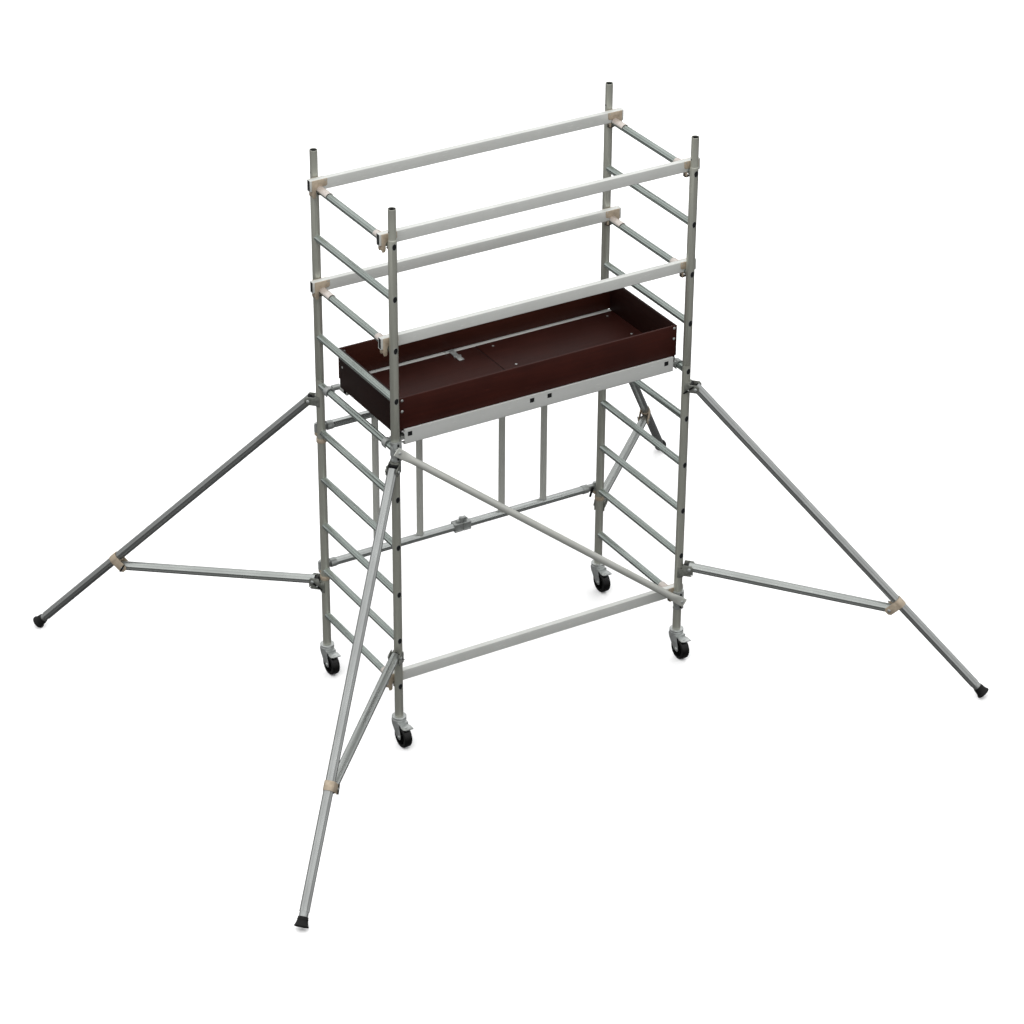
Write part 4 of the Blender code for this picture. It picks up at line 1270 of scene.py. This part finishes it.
def clamp(low, high, pivot, ear_low, ear_high):
    """Half a band round the post and two flat ears, between which the tube is bolted."""
    band = tube((0, 0, low), (0, 0, high), 0.0293, 0.0060, sides=48)
    carve(band, block((-0.06, -0.06, low - 0.01), (-0.0028, 0.06, high + 0.01)))
    parts = [soften(band, 0.0012)]
    end = pivot.x + 0.020
    for sy in (-1, 1):
        ear = settle(plate([
            (0.006, ear_low), (end - 0.010, ear_low), (end, ear_low + 0.012), (end, ear_high - 0.012),
            (end - 0.010, ear_high), (0.027, ear_high), (0.023, high - 0.004), (0.006, high - 0.004)],
            0.0046), ALONG_XZ)
        hole_x = end - 0.008
        hole_z = ear_low + 0.0105
        carve(ear, bar((hole_x, -0.02, hole_z), (hole_x, 0.02, hole_z), 0.0030, 16))
        parts.append(settle(soften(ear, 0.0012), Matrix.Translation((0, sy * 0.0285, 0))))
    return gather("clamp", parts)


def outrigger_tube():
    begin = on_outrigger(0.058) - down * 0.0105
    return tube(begin, tube_end, outrigger_r, 0.0006, flutes=10, depth=0.0018)


def outrigger_end_shade():
    """Darkness inside the open upper end of the tube."""
    begin = on_outrigger(0.058) - down * 0.0100
    return settle(grown([(0, 0.0215), (0.006, 0.0215), (0.008, 0.0190)], 32), aim(begin, begin + down))


def strut_tube():
    return tube(on_strut(0.0565), on_strut(1.171), outrigger_r, 0.0020, flutes=10, depth=0.0019)


def end_plug(at, along):
    """A moulded plug pressed into the strut's end."""
    plug = grown([(-0.010, 0.0222), (0.0, 0.0222), (0.0, 0.0242), (0.003, 0.0242), (0.0042, 0.0225)], 32)
    return settle(plug, aim(at, at + along))


def post_knob():
    """The moulded knob that stops the strut against its clamp."""
    begin = on_strut(0.0575)
    knob = grown([(0, 0.0225), (0.0030, 0.0225), (0.0040, 0.0160), (0.0185, 0.0160), (0.0205, 0.0140)], 32)
    return settle(knob, aim(begin, begin - strut_way))


# %% [markdown]
# The castings and bolts are gathered by finish, so that each stabiliser becomes a handful of
# pieces: tubes, tan bracket, olive clamps, zinc bolts and black plastic. The four sets of
# tubes are painted lighter or darker by how the light falls on each corner.

# %% Stabilisers in their places
leg_tube = tube(tube_end - down * 0.60, foot_base - down * 0.045, leg_r, 0.0018, sides=40)
top_lever = lock_lever(Vector((0.022, -0.0312, 1.657)), 0.036, -1, 42)
low_lever = lock_lever(Vector((0.037, 0.0312, 0.543)), 0.033, 1, 35)
mid_lever = lock_lever(on_strut(strut_pin) + Vector((0, 0.0300, 0)), 0.028, 1, -60)
lever_pins = [rivet((0.022, -0.0368, 1.657), (0, -1, 0), 0.0045, 0.0020),
              rivet((0.037, 0.0368, 0.543), (0, 1, 0), 0.0045, 0.0020)]
stabiliser = {
    "tube": outrigger_tube(),
    "strut": strut_tube(),
    "leg": leg_tube,
    "foot": rubber_foot(),
    "bracket": middle_bracket(),
    "clamp_top": clamp(1.634, 1.694, on_outrigger(0.058), 1.640, 1.686),
    "clamp_bottom": clamp(0.503, 0.5655, on_strut(0.064), 0.520, 0.586),
    "bolts": gather("bolts", [cross_bolt(on_outrigger(0.058), 0.034), cross_bolt(on_strut(0.064), 0.034),
                              cross_bolt(on_strut(strut_pin), 0.031), *lever_pins]),
    "levers": gather("levers", [top_lever, low_lever, mid_lever]),
    "inside": gather("inside", [outrigger_end_shade(), gap_shade_block(1.644, 1.684, 0.0235, 0.038),
                                gap_shade_block(0.524, 0.562, 0.0235, 0.036)]),
    "plugs_and_shade": gather("plugs_and_shade", [post_knob(), end_plug(on_strut(1.171), strut_way)]),
}
# Painted light and shade: a brightness for each corner's tubes.
corner_shade = {"front_left": 0.73, "front_right": 0.70, "rear_left": 0.56, "rear_right": 0.70}
for (face, side), degrees in DIAGONALS.items():
    end = f"{face}_{side}"
    sx = 1 if side == "right" else -1
    sy = 1 if face == "rear" else -1
    turn = Matrix.Rotation(math.radians(degrees), 4, "Z")
    place = Matrix.Translation((sx * post_x, sy * post_y, 0)) @ turn
    out = Vector((math.cos(math.radians(degrees)), math.sin(math.radians(degrees)), 0))
    made = {name: copy(piece, place) for name, piece in stabiliser.items()}
    body = "stabiliser_" + end
    light = Vector((0.58, 0.60, 0.59)) * corner_shade[end]
    slope = drawn_aluminium("outrigger_aluminium_" + end, tuple(light), tuple(light * 0.76),
                            out + Vector((0, 0, -1)))
    level = drawn_aluminium("strut_aluminium_" + end, (0.46, 0.48, 0.465), (0.35, 0.37, 0.355),
                            out + Vector((0, 0, -0.08)))
    hand_over(made["tube"], body + "_outer_tube", slope, body, ["stabiliser_tube_" + end])
    hand_over(made["strut"], body + "_strut_tube", level, body, ["stabiliser_strut_" + end])
    hand_over(made["bracket"], body + "_middle_bracket", tan_casting, body)
    hand_over(made["clamp_top"], body + "_top_clamp", clamp_casting, body,
              ["stabiliser_clamp_top_" + end])
    hand_over(made["clamp_bottom"], body + "_bottom_clamp", clamp_casting, body,
              ["stabiliser_clamp_bottom_" + end])
    hand_over(made["bolts"], body + "_bolts", zinc_plate, body)
    hand_over(made["levers"], body + "_wing_levers", black_plastic, body)
    hand_over(made["plugs_and_shade"], body + "_strut_plugs", black_plastic, body)
    # Painted shade: dark blocks in the tube's open end and between the clamp plates.
    hand_over(made["inside"], body + "_tube_shade_fill", shade_black, body)
    hand_over(made["leg"], f"leg_{end}_tube", slope, "leg_" + end, ["stabiliser_leg_" + end])
    hand_over(made["foot"], f"leg_{end}_rubber_foot", black_rubber, "leg_" + end)
for spare in stabiliser.values():
    bpy.data.objects.remove(spare, do_unlink=True)
print("stabilisers: 4")

# %% [markdown]
# ## Stage
# A plain pale floor and soft studio light. The sky is bright overhead and dimmer towards the
# horizon, so that each tube keeps a light upper side and a darker lower one. The floor gives
# the tubes no glow from below.

# %% Floor, sky and lamps
floor = start("plane", size=120, location=(0, 0, -0.002))
floor.name = "studio_floor"
pale = Finish("pale_floor")
paint = pale.between(pale.noise(0.8, 4.0), (0.93, 0.93, 0.93), (0.97, 0.97, 0.97))
floor.data.materials.append(pale.surface(paint, 0.9))
floor.visible_glossy = False
floor.visible_diffuse = False

world = bpy.data.worlds.new("studio")
bpy.context.scene.world = world
world.use_nodes = True
sky = world.node_tree
direction = sky.nodes.new("ShaderNodeTexCoord")
split = sky.nodes.new("ShaderNodeSeparateXYZ")
fade = sky.nodes.new("ShaderNodeValToRGB")
fade.color_ramp.elements[0].position = 0.30
fade.color_ramp.elements[0].color = (0.10, 0.10, 0.10, 1)
fade.color_ramp.elements[1].position = 0.80
fade.color_ramp.elements[1].color = (1.25, 1.25, 1.25, 1)
height_share = sky.nodes.new("ShaderNodeMapRange")
height_share.inputs["From Min"].default_value = -1.0
sky.links.new(direction.outputs["Generated"], split.inputs[0])
sky.links.new(split.outputs["Z"], height_share.inputs["Value"])
sky.links.new(height_share.outputs[0], fade.inputs[0])
sky.links.new(fade.outputs[0], sky.nodes["Background"].inputs["Color"])
bpy.context.scene.view_settings.view_transform = "Standard"


def softbox(name, place, target, size, power):
    data = bpy.data.lights.new(name, "AREA")
    data.energy = power
    data.size = size
    lamp = bpy.data.objects.new(name, data)
    bpy.context.scene.collection.objects.link(lamp)
    lamp.location = place
    lamp.rotation_mode = "QUATERNION"
    lamp.rotation_quaternion = (Vector(target) - Vector(place)).to_track_quat("-Z", "Y")
    lamp.visible_glossy = False


softbox("key", (-5, -6, 10), (0, 0, 1.4), 6.0, 700)
softbox("rim", (7, 6, 6), (0, 0, 1.5), 4.0, 250)

# %% [markdown]
# The camera looks down on the front left corner through a long lens.

# %% Camera
azimuth = math.radians(-29.90)
elevation = math.radians(30.90)
camera_data = bpy.data.cameras.new("camera")
camera_data.lens = 111.15
camera_data.sensor_width = 36.0
camera_data.shift_x = 0.0373
camera_data.shift_y = 0.0524
camera_data.clip_end = 200
camera = bpy.data.objects.new("camera", camera_data)
bpy.context.scene.collection.objects.link(camera)
level_share = math.cos(elevation)
back = Vector((math.sin(azimuth) * level_share, -math.cos(azimuth) * level_share, math.sin(elevation)))
aim_point = Vector((-0.181, 0, 0.665))
distance = 16.96
camera.location = aim_point + back * distance
camera.rotation_mode = "QUATERNION"
camera.rotation_quaternion = (-back).to_track_quat("-Z", "Y")
bpy.context.scene.camera = camera
